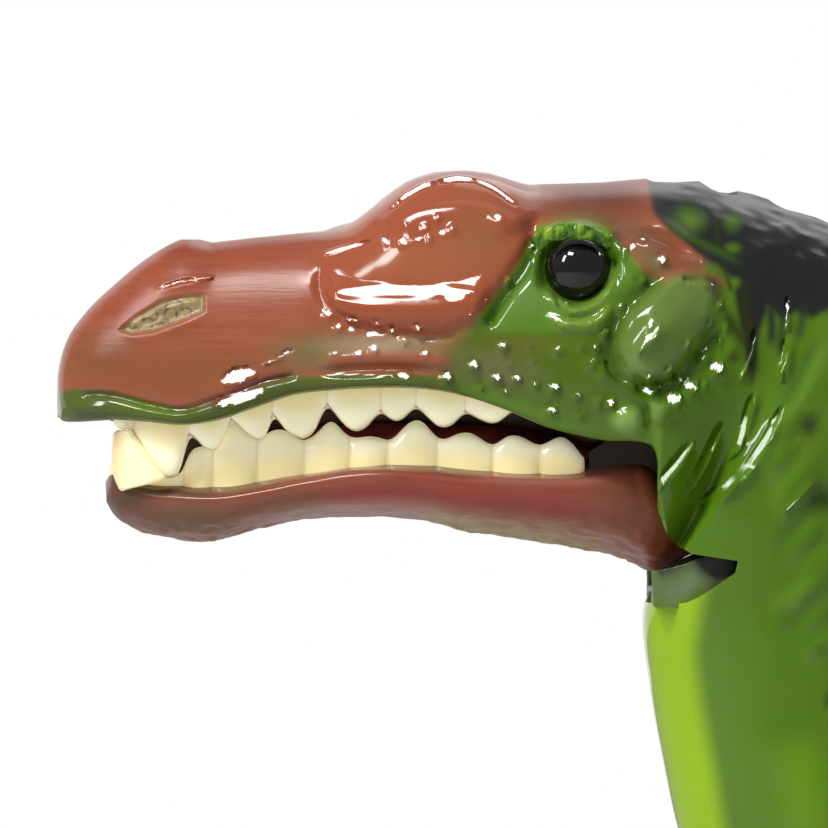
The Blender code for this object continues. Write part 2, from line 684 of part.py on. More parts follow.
def body_shells(maker, rungs, flank):
    """The two moulded halves of head, neck and torso, with their bosses and bearings."""
    insets = [WALL] * len(rungs)
    middle = [WALL / 2] * len(rungs)
    hip = Vector((0, HIP_HEIGHT))
    shoulder = shoulder_place()
    hinge = head_point(JAW_HINGE_PIXEL)
    root = rungs[-1]
    slit_outline = [head_point(pixel) for pixel in THROAT_SLIT_PIXELS]
    ear_face = jaw_ear_face()
    hole = SCREW_SHANK_RADIUS + CLEARANCE
    head_bore = SCREW_HEAD_RADIUS + CLEARANCE
    wide = TORSO_WIDTH
    for side, label in ((-1, "left"), (1, "right")):
        half = maker.piece(shell_mesh("body_shell_" + label, rungs, insets, side),
                           plastic("skin", 0.0, 0.25))
        slit = maker.tool(prism_mesh("throat_slit_" + label, slit_outline, -wide, wide))
        maker.combine(half, slit, "DIFFERENCE")
        boss_radius = head_bore + WELL_WALL if side > 0 else hole + PILOT_WALL
        bosses = [(p, boss_radius, side * boss_start(), side * wide) for p in screw_places()]
        bosses.append((hinge, JAW_BOSS_RADIUS, side * (ear_face + CLEARANCE), side * wide))
        boss_tool = maker.tool(cylinder_mesh("bosses_" + label, bosses, 12))
        core = maker.tool(core_mesh("middle_core_" + label, rungs[1:], middle[1:], side, recess=BOSS_RECESS))
        maker.combine(boss_tool, maker.tool(end_wall_mesh("end_wall_" + label, root)), "UNION")
        maker.combine(boss_tool, core, "INTERSECT")
        maker.combine(half, boss_tool, "UNION")
        hip_start = side * (hip_face() - HIP_COLLAR_DEPTH)
        shoulder_start = side * (shoulder_face(flank) - SHOULDER_COLLAR_DEPTH)
        collars = [(hip, HIP_COLLAR_RADIUS, hip_start, side * hip_face()),
                   (shoulder, SHOULDER_COLLAR_RADIUS, shoulder_start, side * shoulder_face(flank))]
        maker.combine(half, maker.tool(cylinder_mesh("collars_" + label, collars, 24)), "UNION")
        holes = [(hip, HIP_HUB_RADIUS + CLEARANCE, hip_start - side * OVERRUN, side * wide),
                 (shoulder, SHOULDER_HUB_RADIUS + CLEARANCE, shoulder_start - side * OVERRUN, side * wide),
                 (hinge, JAW_PIN_RADIUS + CLEARANCE, 0, side * (jaw_pin_half() + CLEARANCE))]
        for place in screw_places():
            if side > 0:
                holes.append((place, head_bore, BODY_SCREW_GRIP, wide))
                holes.append((place, hole, -OVERRUN, BODY_SCREW_GRIP + OVERRUN))
            else:
                depth = BODY_SCREW_BITE - BODY_SCREW_GRIP + BLIND_END
                holes.append((place, hole, OVERRUN, -depth))
        for number, item in enumerate(holes):
            name = "bore_%s_%d" % (label, number)
            maker.combine(half, maker.tool(cylinder_mesh(name, [item], 24 if number < 2 else 12)), "DIFFERENCE")
        maker.combine(half, maker.tool(tail_bore_mesh("tail_bore_" + label, root)), "DIFFERENCE")
        socket = maker.tool(eye_mesh("eye_socket_" + label, side, flank, CLEARANCE))
        maker.combine(half, socket, "DIFFERENCE")


def aligned(rung):
    """A frame whose +Y runs along the tail from the middle of a section."""
    centre, direction = rung_axis(rung)
    angle = math.atan2(direction.y, direction.x)
    turn = Matrix.Rotation(-angle, 4, "Y") @ Matrix.Rotation(math.radians(-90), 4, "Z")
    return Matrix.Translation((centre.x, 0, centre.y)) @ turn


def end_wall_mesh(name, rung):
    """The disc that closes the body in front of the tail, before it is cut to the skin's shape."""
    start = -BULKHEAD - END_WALL_SET_IN
    mesh = cylinder_mesh(name, [((0, 0), TAIL_DEPTH, start, -END_WALL_SET_IN)], 24)
    mesh.transform(aligned(rung))
    return mesh


def tail_bore_mesh(name, rung):
    radius = SPOOL_NECK_RADIUS + CLEARANCE
    mesh = cylinder_mesh(name, [((0, 0), radius, -BULKHEAD - OVERRUN, OVERRUN)], 24)
    mesh.transform(aligned(rung))
    return mesh


def eye_mesh(name, side, flank, grow):
    """The ball and the post behind it."""
    place = head_point(EYE_PIXEL)
    centre_y = flank(place.x, place.y) - EYE_SINK
    work = bmesh.new()
    centre = Matrix.Translation((place.x, side * centre_y, place.y))
    bmesh.ops.create_uvsphere(work, u_segments=14, v_segments=9, radius=EYE_RADIUS + grow, matrix=centre)
    return finish_mesh(name, work)


def eyes(maker, flank):
    place = head_point(EYE_PIXEL)
    centre_y = flank(place.x, place.y) - EYE_SINK
    for side, label in ((-1, "left"), (1, "right")):
        pivot = (place.x, side * centre_y, place.y)
        ball = maker.piece(eye_mesh("eye_" + label, side, flank, 0), plastic("eye", 0.0, 0.08), pivot)
        inner = side * (centre_y - EYE_RADIUS - EYE_POST_LENGTH)
        post = cylinder_mesh("eye_post_" + label, [(place, EYE_POST_RADIUS, inner, side * centre_y)], 8)
        maker.combine(ball, maker.tool(post), "UNION")


def jaw_ear_face():
    """Half the distance across the outer faces of the jaw's hinge ears."""
    return JAW_SECTION_PIXELS_AND_SHARES[-1][2] * HEAD_WIDTH - CLEARANCE


def jaw_pin_half():
    return jaw_ear_face() + WALL


def jaw(maker):
    """The lower jaw with its tongue bed and hinge ears, its tongue and its hinge pin."""
    rungs = jaw_rungs()
    flat = [0.0] * len(rungs)
    hinge = head_point(JAW_HINGE_PIXEL)
    pivot = (hinge.x, 0, hinge.y)
    body = maker.piece(core_mesh("lower_jaw", rungs, flat, 0, JAW_SECTION_SHARES),
                       plastic("jaw", 0.0, 0.22), pivot)
    bed, tongue = [], []
    for number, rung in enumerate(rungs[JAW_TROUGH_FIRST:]):
        up = (rung.top - rung.low).normalized()
        low = rung.low + up * JAW_FLOOR
        width = rung.half_width * JAW_TROUGH_SHARE
        bed.append(Rung(rung.top + up * OVERRUN, low, width, 1.0))
        tongue.append(Rung(rung.top + up * TONGUE_RISE, low + up * CLEARANCE, width - CLEARANCE, 1.0))
    back = Vector((OVERRUN, 0))
    bed.append(Rung(bed[-1].top + back, bed[-1].low + back, bed[-1].half_width, 1.0))
    bed_flat = [0.0] * len(bed)
    trough = maker.tool(core_mesh("tongue_bed", bed, bed_flat, 0, BLOCK_SECTION_SHARES))
    maker.combine(body, trough, "DIFFERENCE")
    outline = []
    first, last = JAW_EAR_ARC_SHARES
    for step in range(EAR_ARC_STEPS + 1):
        angle = math.tau * (first + (last - first) * step / EAR_ARC_STEPS)
        outline.append(hinge + Vector((math.cos(angle), math.sin(angle))) * JAW_EAR_RADIUS)
    outline += [head_point(pixel) for pixel in reversed(JAW_EAR_PIXELS)]
    outer = jaw_ear_face()
    for side, label in ((-1, "left"), (1, "right")):
        ear = prism_mesh("jaw_ear_" + label, outline, side * (outer - JAW_EAR_THICKNESS), side * outer)
        maker.combine(body, maker.tool(ear), "UNION")
    hole = cylinder_mesh("jaw_pin_bore", [(hinge, JAW_PIN_RADIUS + CLEARANCE, -outer * 2, outer * 2)], 12)
    maker.combine(body, maker.tool(hole), "DIFFERENCE")
    pin = cylinder_mesh("jaw_pin", [(hinge, JAW_PIN_RADIUS, -jaw_pin_half(), jaw_pin_half())], 12)
    maker.piece(pin, plastic("steel", 1.0, 0.35), pivot)
    shorter = tongue[TONGUE_TRIM:-TONGUE_TRIM]
    shorter[0] = Rung(shorter[0].top - Vector((0, TONGUE_RISE)), shorter[0].low, shorter[0].half_width / 2, 1.0)
    slab = core_mesh("tongue", shorter, [0.0] * len(shorter), 0, TONGUE_SECTION_SHARES)
    maker.piece(slab, plastic("mouth", 0.0, 0.3), pivot)


def clear_core(maker, name, rungs):
    """The space inside the skin, less the clearance that a fitted piece needs."""
    return maker.tool(core_mesh(name, rungs[1:], [WALL + CLEARANCE] * (len(rungs) - 1), 0))


def palate(maker, rungs):
    """The plate that closes the roof of the mouth."""
    low = [head_point(pixel) for pixel in PALATE_PIXELS]
    high = [point + Vector((0, PALATE_THICKNESS)) for point in reversed(low)]
    plate = maker.piece(prism_mesh("palate", low + high, -HEAD_WIDTH, HEAD_WIDTH), plastic("mouth", 0.0, 0.3))
    maker.combine(plate, clear_core(maker, "palate_space", rungs), "INTERSECT")


def throat_liner(maker, rungs):
    """The curved wall behind the mouth, round the jaw's swing."""
    hinge = head_point(JAW_HINGE_PIXEL)
    inner, outer = [], []
    for step in range(LINER_STEPS + 1):
        angle = math.radians(LINER_START_ANGLE + (LINER_END_ANGLE - LINER_START_ANGLE) * step / LINER_STEPS)
        direction = Vector((math.sin(angle), -math.cos(angle)))
        inner.append(hinge + direction * LINER_RADIUS)
        outer.append(hinge + direction * (LINER_RADIUS + LINER_THICKNESS))
    mesh = prism_mesh("throat_liner", inner + outer[::-1], -HEAD_WIDTH, HEAD_WIDTH)
    liner = maker.piece(mesh, plastic("throat", 0.0, 0.4))
    maker.combine(liner, clear_core(maker, "liner_space", rungs), "INTERSECT")


def along(points, x):
    """Height and spread of a chain of (x, z, spread) points at an x."""
    for first, second in zip(points, points[1:]):
        if first[0] <= x <= second[0]:
            turn = (x - first[0]) / (second[0] - first[0])
            return tuple(a + (b - a) * turn for a, b in zip(first[1:], second[1:]))
    return points[-1][1:] if x > points[-1][0] else points[0][1:]


def lip_chain():
    chain = []
    for _, low, share in HEAD_SECTION_PIXELS_AND_SHARES[:-3]:
        place = head_point(low)
        chain.append((place.x, place.y, share * HEAD_WIDTH * LIP_EDGE_SHARE))
    return chain


def gum_spread(x, row):
    """Half the distance across a gum's middle: the lower row (1) stands inside the upper (0)."""
    inside = WALL + 2 * CLEARANCE + GUM_THICKNESS / 2
    inside += row * (GUM_THICKNESS + 2 * CLEARANCE)
    return along(lip_chain(), x)[1] - inside


def gum_height(x, row):
    """The height of a gum's root: under the palate for the upper row, on the jaw for the lower."""
    if row:
        chain = [(head_point(top).x, head_point(top).y) for top, _, _ in JAW_SECTION_PIXELS_AND_SHARES[1:]]
        return along(chain, x)[0] + CLEARANCE
    chain = [(head_point(pixel).x, head_point(pixel).y) for pixel in PALATE_PIXELS]
    return along(chain, x)[0] - CLEARANCE


def gum_path(row, pixel_range):
    """Points along the right half of a gum from its rear to the front, then across."""
    points = []
    pixel = pixel_range[1]
    while pixel > pixel_range[0]:
        x = head_point((pixel, 0)).x
        points.append(Vector((x, gum_spread(x, row), gum_height(x, row))))
        pixel -= GUM_STEP_PIXELS
    front = head_point((pixel_range[0], 0)).x
    spread = gum_spread(front, row)
    for across, ahead in GUM_FRONT_SHARES:
        x = front - ahead * spread
        points.append(Vector((x, across * spread, gum_height(x, row))))
    return points + [mirrored(point) for point in reversed(points[:-1])]


def teeth(maker, name, row, pixel_range, tooth_pixels, pivot):
    """A gum strip round the jaw with its teeth on it."""
    up = 1 if row else -1
    path = gum_path(row, pixel_range)
    rings = []
    for index, point in enumerate(path):
        run = path[min(index + 1, len(path) - 1)] - path[max(index - 1, 0)]
        across = Vector((-run.y, run.x, 0)).normalized() * (GUM_THICKNESS / 2)
        rise = Vector((0, 0, up * GUM_HEIGHTS[row]))
        rings.append([point - across, point + across, point + across + rise, point - across + rise])
    gum = maker.piece(ring_mesh(name, rings), plastic("tooth", 0.0, 0.25), pivot)
    work = bmesh.new()
    places = [(x, tip, half, side) for x, tip, half in tooth_pixels for side in (-1, 1)]
    for pixel, tip, half, side in places:
        x = head_point((pixel, 0)).x
        spread = gum_spread(x, row)
        slope = gum_spread(x + PIXEL * half, row) - gum_spread(x - PIXEL * half, row)
        angle = side * math.atan2(slope, 2 * PIXEL * half)
        root = gum_height(x, row) + up * GUM_HEIGHTS[row] * TOOTH_ROOT_SHARE
        end = head_point((0, tip)).y
        add_tooth(work, Vector((x, side * spread, root)), end, PIXEL * half, angle)
    front = head_point((pixel_range[0], 0)).x
    spread = gum_spread(front, row)
    for across, ahead in FRONT_TOOTH_SHARES:
        x = front - ahead * spread
        root = gum_height(x, row) + up * GUM_HEIGHTS[row] * TOOTH_ROOT_SHARE
        end = root + up * FRONT_TOOTH_LENGTH
        place = Vector((x, across * spread, root))
        add_tooth(work, place, end, spread * FRONT_TOOTH_HALF_SHARE, math.radians(90))
    cones = maker.tool(finish_mesh(name + "_cones", work))
    maker.combine(gum, cones, "UNION")
    return gum


def add_tooth(work, root, end, half_length, angle):
    """A tapered tooth from its root to the height of its tip."""
    depth = end - root.z
    size = Matrix.Diagonal((half_length, TOOTH_THICKNESS / 2, depth, 1))
    turn = Matrix.Rotation(angle, 4, "Z")
    middle = Matrix.Translation((root.x, root.y, root.z + depth / 2))
    bmesh.ops.create_cone(work, cap_ends=True, segments=TOOTH_SIDES, radius1=1, radius2=TOOTH_TIP_SHARE,
                          depth=1, matrix=middle @ turn @ size)


def arm(maker, side, label, flank):
    """A one-piece arm with its hub, and the washer and screw that hold it."""
    place = shoulder_place()
    face = shoulder_face(flank)
    plane = face + CLEARANCE + ARM_THICKNESS / 2 + ARM_SHIFT
    pivot = (place.x, side * plane, place.y)
    rungs = limb_rungs(place, ARM_PATH_SHARES, ARM_LENGTH, ARM_THICKNESS)
    flat = [0.0] * len(rungs)
    mesh = core_mesh("arm_" + label, rungs, flat, 0, LIMB_SECTION_SHARES)
    mesh.transform(Matrix.Translation((0, side * plane, 0)))
    piece = maker.piece(mesh, plastic("leg", 0.0, 0.3), pivot)
    hub_end = face - SHOULDER_COLLAR_DEPTH - HUB_PROUD
    outer = face + CLEARANCE + ARM_THICKNESS * SHOULDER_DISC_SHARE
    disc = cylinder_mesh("arm_disc_" + label, [(place, SHOULDER_COLLAR_RADIUS, side * (face + CLEARANCE),
                                                side * outer)], 16)
    maker.combine(piece, maker.tool(disc), "UNION")
    hub = cylinder_mesh("arm_hub_" + label, [(place, SHOULDER_HUB_RADIUS, side * hub_end, side * outer)], 16)
    maker.combine(piece, maker.tool(hub), "UNION")
    wrist = place + Vector(FINGER_START_SHARES) * ARM_LENGTH
    reach = FINGER_LENGTH_SHARE * ARM_LENGTH
    for number, degrees in enumerate(FINGER_SPREAD_DEGREES):
        work = bmesh.new()
        turn = Matrix.Rotation(math.radians(degrees), 4, "Z") @ Matrix.Rotation(
            math.radians(-90 - FINGER_DROOP_DEGREES), 4, "Y")
        middle = Matrix.Translation((wrist.x, side * plane, wrist.y)) @ turn
        bmesh.ops.create_cone(work, cap_ends=True, segments=6, radius1=FINGER_RADIUS_SHARE * ARM_THICKNESS,
                              radius2=FINGER_TIP_SHARE * FINGER_RADIUS_SHARE * ARM_THICKNESS, depth=reach,
                              matrix=middle @ Matrix.Translation((0, 0, reach / 2)))
        finger = finish_mesh("finger_%s_%d" % (label, number), work)
        maker.combine(piece, maker.tool(finger), "UNION")
    bore = [(place, SCREW_SHANK_RADIUS + CLEARANCE, side * (hub_end - OVERRUN),
             side * (hub_end + HUB_SCREW_BITE + BLIND_END))]
    maker.combine(piece, maker.tool(cylinder_mesh("arm_bore_" + label, bore, 12)), "DIFFERENCE")
    hub_fixings(maker, "shoulder", label, side, place, hub_end, SHOULDER_WASHER_RADIUS)


def hub_fixings(maker, joint, label, side, place, hub_end, radius):
    """The washer inside the body and the screw that draws a limb's hub against it."""
    near = hub_end - CLEARANCE
    far = near - WASHER_THICKNESS
    low, high = sorted((side * near, side * far))
    washer(maker, "%s_washer_%s" % (joint, label), place, radius, low, high)
    bite = WASHER_THICKNESS + CLEARANCE + HUB_SCREW_BITE
    screw(maker, "%s_screw_%s" % (joint, label), place, side * far, bite, -side)


def circle_rungs(path):
    """Rungs square to a path of points and radii in the side view."""
    rungs = []
    for index, (centre, radius) in enumerate(path):
        run = path[min(index + 1, len(path) - 1)][0] - path[max(index - 1, 0)][0]
        across = Vector((-run.y, run.x)).normalized() * radius
        rungs.append(Rung(centre + across, centre - across, radius, 1.0))
    return rungs


def limb_rungs(place, shares, length, thickness):
    return circle_rungs([(place + Vector((x, z)) * length, radius * thickness) for x, z, radius in shares])


def leg_plane():
    return hip_face() + CLEARANCE + LEG_WIDTH / 2


def leg(maker, side, label):
    """Two screwed halves with a hub at the hip, and the foot under them."""
    rungs = leg_rungs()
    insets = [WALL] * len(rungs)
    middle = [WALL / 2] * len(rungs)
    plane = side * leg_plane()
    move = Matrix.Translation((0, plane, 0))
    hip = Vector((0, HIP_HEIGHT))
    pivot = (0, plane, HIP_HEIGHT)
    hole = SCREW_SHANK_RADIUS + CLEARANCE
    head_bore = SCREW_HEAD_RADIUS + CLEARANCE
    places = [Vector(shares) * HIP_HEIGHT for shares in LEG_SCREW_SHARES]
    hub_end = hip_face() - HIP_COLLAR_DEPTH - HUB_PROUD
    for half, facing in (("inner", -side), ("outer", side)):
        name = "leg_%s_%s" % (label, half)
        mesh = shell_mesh(name, rungs, insets, facing, LIMB_SECTION_SHARES)
        mesh.transform(move)
        piece = maker.piece(mesh, plastic("leg", 0.0, 0.3), pivot)
        radius = head_bore + WELL_WALL if half == "inner" else hole + PILOT_WALL
        bosses = cylinder_mesh(name + "_bosses", [(p, radius, facing * boss_start(), facing * LEG_WIDTH)
                                                  for p in places], 12)
        bosses.transform(move)
        boss_tool = maker.tool(bosses)
        core = core_mesh(name + "_core", rungs[1:], middle[1:], facing, LIMB_SECTION_SHARES, BOSS_RECESS)
        core.transform(move)
        maker.combine(boss_tool, maker.tool(core), "INTERSECT")
        maker.combine(piece, boss_tool, "UNION")
        bores = []
        for place in places:
            if half == "inner":
                bores.append((place, head_bore, plane + facing * BODY_SCREW_GRIP, plane + facing * LEG_WIDTH))
                bores.append((place, hole, plane - facing * OVERRUN, plane + facing * (BODY_SCREW_GRIP + OVERRUN)))
            else:
                depth = BODY_SCREW_BITE - BODY_SCREW_GRIP + BLIND_END
                bores.append((place, hole, plane - facing * OVERRUN, plane + facing * depth))
        if half == "inner":
            end = hub_end + HUB_SCREW_BITE + 2 * BLIND_END
            hub = cylinder_mesh(name + "_hub", [(hip, HIP_HUB_RADIUS, side * hub_end, side * end)], 24)
            maker.combine(piece, maker.tool(hub), "UNION")
            bores.append((hip, hole, side * (hub_end - OVERRUN), side * (end - BLIND_END)))
        for number, bore in enumerate(bores):
            tool = maker.tool(cylinder_mesh("%s_bore_%d" % (name, number), [bore], 12))
            maker.combine(piece, tool, "DIFFERENCE")
    for number, place in enumerate(places):
        screw(maker, "leg_screw_%s_%d" % (label, number + 1), place, plane - side * BODY_SCREW_GRIP,
              BODY_SCREW_BITE, -side)
    hub_fixings(maker, "hip", label, side, hip, hub_end, HIP_WASHER_RADIUS)
    foot(maker, side, label, rungs, plane, pivot)


def foot(maker, side, label, rungs, plane, pivot):
    """A foot with three toes, flat below, and a post that reaches up into the leg."""
    ankle_rear, ankle_front = rungs[-1].top, rungs[-1].low
    move = Matrix.Translation((0, plane, 0))
    sections = []
    for x_front, z_front, x_rear, z_rear, width in FOOT_SECTION_SHARES:
        front = Vector((ankle_front.x + x_front * FOOT_LENGTH, ankle_front.y * z_front - CLEARANCE))
        rear = Vector((ankle_rear.x + x_rear * FOOT_LENGTH, ankle_rear.y * z_rear - CLEARANCE))
        sections.append(Rung(rear, front, width * FOOT_WIDTH, 1.0))
    mesh = core_mesh("foot_" + label, sections, [0.0] * len(sections), 0, LIMB_SECTION_SHARES)
    mesh.transform(move)
    piece = maker.piece(mesh, plastic("leg", 0.0, 0.3), pivot)
    root_x = ankle_front.x + TOE_ROOT_SHARE * FOOT_LENGTH
    for number, (degrees, length_share, thick_share) in enumerate(TOE_TURNS_AND_SHARES):
        radius = TOE_RADIUS_SHARE * FOOT_WIDTH * thick_share
        rings = []
        for reach, width, height in TOE_RING_SHARES:
            ring = []
            for step in range(TOE_RING_SIDES):
                angle = math.tau * step / TOE_RING_SIDES
                ring.append(Vector((-reach * length_share * FOOT_LENGTH, width * radius * math.cos(angle),
                                    height * radius + width * radius * math.sin(angle))))
            rings.append(ring)
        toe = ring_mesh("toe_%s_%d" % (label, number), rings)
        turn = Matrix.Rotation(math.radians(degrees), 4, "Z")
        toe.transform(Matrix.Translation((root_x, plane, 0)) @ turn)
        maker.combine(piece, maker.tool(toe), "UNION")
    post = []
    for rung in (rungs[-2], rungs[-1], sections[1]):
        centre = (rung.top + rung.low) / 2
        reach = (rung.top - centre) * FOOT_POST_SHARE
        post.append(Rung(centre + reach, centre - reach, rungs[-1].half_width * FOOT_POST_SHARE, 1.0))
    post_mesh = core_mesh("foot_post_" + label, post, [0.0] * len(post), 0, LIMB_SECTION_SHARES)
    post_mesh.transform(move)
    maker.combine(piece, maker.tool(post_mesh), "UNION")
    reach = FOOT_LENGTH * 2
    ground = box_mesh("ground_" + label, (-reach, plane - reach, -reach), (reach, plane + reach, 0))
    maker.combine(piece, maker.tool(ground), "DIFFERENCE")


def tail(maker):
    """Two screwed tail halves clamped round the spool that turns in the body's end wall."""
    rungs = tail_rungs()
    back = Vector((-OVERRUN, 0))
    hollow = [Rung(rungs[0].top + back, rungs[0].low + back, rungs[0].half_width, 1.0)] + rungs[:TAIL_HOLLOW_RUNGS]
    hollow_insets = [min(WALL, rung.half_width * TAIL_THIN_WALL_SHARE) for rung in hollow]
    middle = [inset / 2 for inset in hollow_insets]
    end = body_rungs()[-1]
    centre, _ = rung_axis(end)
    pivot = (centre.x, 0, centre.y)
    hole = SCREW_SHANK_RADIUS + CLEARANCE
    head_bore = SCREW_HEAD_RADIUS + CLEARANCE
    places = []
    for share in TAIL_SCREW_SHARES:
        chain = [((r.top.x + r.low.x) / 2, (r.top.y + r.low.y) / 2) for r in rungs]
        x = TAIL_ROOT.x + share * TAIL_LENGTH
        places.append(Vector((x, along(chain, x)[0])))
    for side, label in ((-1, "left"), (1, "right")):
        name = "tail_" + label
        piece = maker.piece(core_mesh(name, rungs, [0.0] * len(rungs), side), plastic("tail", 0.0, 0.3), pivot)
        maker.combine(piece, maker.tool(core_mesh(name + "_hollow", hollow, hollow_insets, 0)), "DIFFERENCE")
        radius = head_bore + WELL_WALL if side > 0 else hole + PILOT_WALL
        bosses = maker.tool(cylinder_mesh(name + "_bosses", [(p, radius, side * boss_start(), side * TAIL_WIDTH)
                                                             for p in places], 12))
        core = maker.tool(core_mesh(name + "_core", rungs[:TAIL_BOSS_RUNGS], middle[:TAIL_BOSS_RUNGS], side,
                                    recess=BOSS_RECESS))
        maker.combine(bosses, core, "INTERSECT")
        maker.combine(piece, bosses, "UNION")
        bores = []
        for place in places:
            if side > 0:
                bores.append((place, head_bore, BODY_SCREW_GRIP, TAIL_WIDTH))
                bores.append((place, hole, -OVERRUN, BODY_SCREW_GRIP + OVERRUN))
            else:
                bores.append((place, hole, OVERRUN, BODY_SCREW_GRIP - BODY_SCREW_BITE - BLIND_END))
        for number, bore in enumerate(bores):
            tool = maker.tool(cylinder_mesh("%s_bore_%d" % (name, number), [bore], 12))
            maker.combine(piece, tool, "DIFFERENCE")
    for number, place in enumerate(places):
        screw(maker, "tail_screw_%d" % (number + 1), place, BODY_SCREW_GRIP, BODY_SCREW_BITE)
    flange = -BULKHEAD - END_WALL_SET_IN - CLEARANCE
    profile = ((0, SPOOL_PLUG), (SPOOL_PLUG_RADIUS, SPOOL_PLUG), (SPOOL_PLUG_RADIUS, CLEARANCE),
               (SPOOL_NECK_RADIUS, CLEARANCE), (SPOOL_NECK_RADIUS, flange), (SPOOL_FLANGE_RADIUS, flange),
               (SPOOL_FLANGE_RADIUS, flange - SPOOL_FLANGE), (0, flange - SPOOL_FLANGE))
    mesh = turned_mesh("tail_spool", profile, 20)
    mesh.transform(aligned(end))
    maker.piece(mesh, plastic("washer", 0.0, 0.5), pivot)


def main():
    """Build every piece of the figure."""
    clear_scene()
    maker = Maker()
    rungs = body_rungs()
    flank = flank_finder(rungs)
    hinge = head_point(JAW_HINGE_PIXEL)
    body_shells(maker, rungs, flank)
    for number, place in enumerate(screw_places()):
        screw(maker, "body_screw_%d" % (number + 1), place, BODY_SCREW_GRIP, BODY_SCREW_BITE)
    eyes(maker, flank)
    palate(maker, rungs)
    throat_liner(maker, rungs)
    jaw(maker)
    teeth(maker, "upper_teeth", 0, UPPER_GUM_RANGE_PIXELS, UPPER_TOOTH_PIXELS, (0, 0, 0))
    teeth(maker, "lower_teeth", 1, LOWER_GUM_RANGE_PIXELS, LOWER_TOOTH_PIXELS, (hinge.x, 0, hinge.y))
    for side, label in ((-1, "left"), (1, "right")):
        arm(maker, side, label, flank)
        leg(maker, side, label)
    tail(maker)


main()
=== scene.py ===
"""Looks of the jointed toy dinosaur: painted skin, teeth, eyes, limbs, studio and camera.

Metres, +Z up. The figure faces -X and its left flank looks at the camera. Places on the head are
given in pixels of the photograph's frame, which the Photo class turns into metres.
"""

import logging
import math
from dataclasses import dataclass, field
from enum import Enum

import bmesh
import bpy
import numpy as np
from mathutils import Matrix, Vector


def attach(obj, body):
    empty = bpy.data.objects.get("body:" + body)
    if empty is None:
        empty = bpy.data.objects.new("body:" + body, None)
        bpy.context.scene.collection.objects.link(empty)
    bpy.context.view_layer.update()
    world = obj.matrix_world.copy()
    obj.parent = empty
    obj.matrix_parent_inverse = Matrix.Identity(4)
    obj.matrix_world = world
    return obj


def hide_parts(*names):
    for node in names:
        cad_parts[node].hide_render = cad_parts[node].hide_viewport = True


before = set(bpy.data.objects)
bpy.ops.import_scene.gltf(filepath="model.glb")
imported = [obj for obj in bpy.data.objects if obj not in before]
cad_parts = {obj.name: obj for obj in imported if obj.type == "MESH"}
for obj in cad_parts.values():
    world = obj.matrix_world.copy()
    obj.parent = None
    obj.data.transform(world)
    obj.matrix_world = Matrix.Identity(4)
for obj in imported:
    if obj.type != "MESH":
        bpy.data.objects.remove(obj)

LOG = logging.getLogger("toy_dinosaur")
Colour = tuple[float, float, float]
Pixel = tuple[float, float]
MM = 0.001
HALF_SEAM = 0.00015
WALL = 0.0018


class Side(Enum):
    """The two flanks, with the sign of their Y."""

    LEFT = -1
    RIGHT = 1

    @property
    def label(self) -> str:
        """The word used in names."""
        return self.name.lower()


# Measuring
@dataclass(frozen=True)
class Photo:
    """Ties the photograph's pixels to places beside the figure's middle plane."""

    pixel: float = 0.075 / 682
    middle: float = 414.0
    anchor: Pixel = (700.0, 420.0)
    anchor_x: float = -0.1476994
    anchor_z: float = 0.212
    distance: float = 1.2

    @property
    def centre(self) -> tuple[float, float]:
        """The x and z that the photograph's middle shows."""
        return (self.anchor_x + (self.middle - self.anchor[0]) * self.pixel,
                self.anchor_z + (self.anchor[1] - self.middle) * self.pixel)

    def flat(self, pixel: Pixel) -> tuple[float, float]:
        """The x and z of a pixel on the middle plane."""
        x, z = self.centre
        return x + (pixel[0] - self.middle) * self.pixel, z + (self.middle - pixel[1]) * self.pixel

    def pixels(self, points: np.ndarray) -> np.ndarray:
        """Where the camera sees each point, with the right flank folded on to the left.

        Args:
            points: Places, one row each.

        Returns:
            Pixel columns and rows, one row each.
        """
        x, z = self.centre
        near = self.distance / (self.distance - np.abs(points[:, 1])) / self.pixel
        return np.stack((self.middle + (points[:, 0] - x) * near,
                         self.middle - (points[:, 2] - z) * near), axis=1)

    def place(self, pixel: Pixel, out: float) -> Vector:
        """The place at a distance out from the middle plane that the camera sees at a pixel.

        Args:
            pixel: A column and a row of the photograph.
            out: The y of the place, in metres.

        Returns:
            The place.
        """
        x, z = self.centre
        scale = self.pixel * (self.distance - abs(out)) / self.distance
        return Vector((x + (pixel[0] - self.middle) * scale, out, z + (self.middle - pixel[1]) * scale))


    def sheet(self, u: np.ndarray, y: np.ndarray, v: np.ndarray) -> np.ndarray:
        """Places from pixel columns, distances out and pixel rows, without the perspective."""
        x, z = self.flat((0, 0))
        return np.stack((x + u * self.pixel, y, z - v * self.pixel), axis=1)


PHOTO = Photo()


def draw_in(points: np.ndarray) -> np.ndarray:
    """Head points drawn towards the view's centre, so that the camera sees them at their own pixels.

    Args:
        points: Places, with the axes last.

    Returns:
        The places with the perspective made good, fading out on the neck.
    """
    x, z = PHOTO.centre
    share = np.abs(points[..., 1]) / PHOTO.distance * (1 - smooth_step(-0.145, -0.12, points[..., 0]))
    drawn = points.copy()
    drawn[..., 0] -= (points[..., 0] - x) * share
    drawn[..., 2] -= (points[..., 2] - z) * share
    return drawn


def smooth_step(low: float, high: float, values: np.ndarray) -> np.ndarray:
    """An S curve from 0 at low to 1 at high."""
    share = np.clip((values - low) / (high - low), 0.0, 1.0)
    return share * share * (3.0 - 2.0 * share)


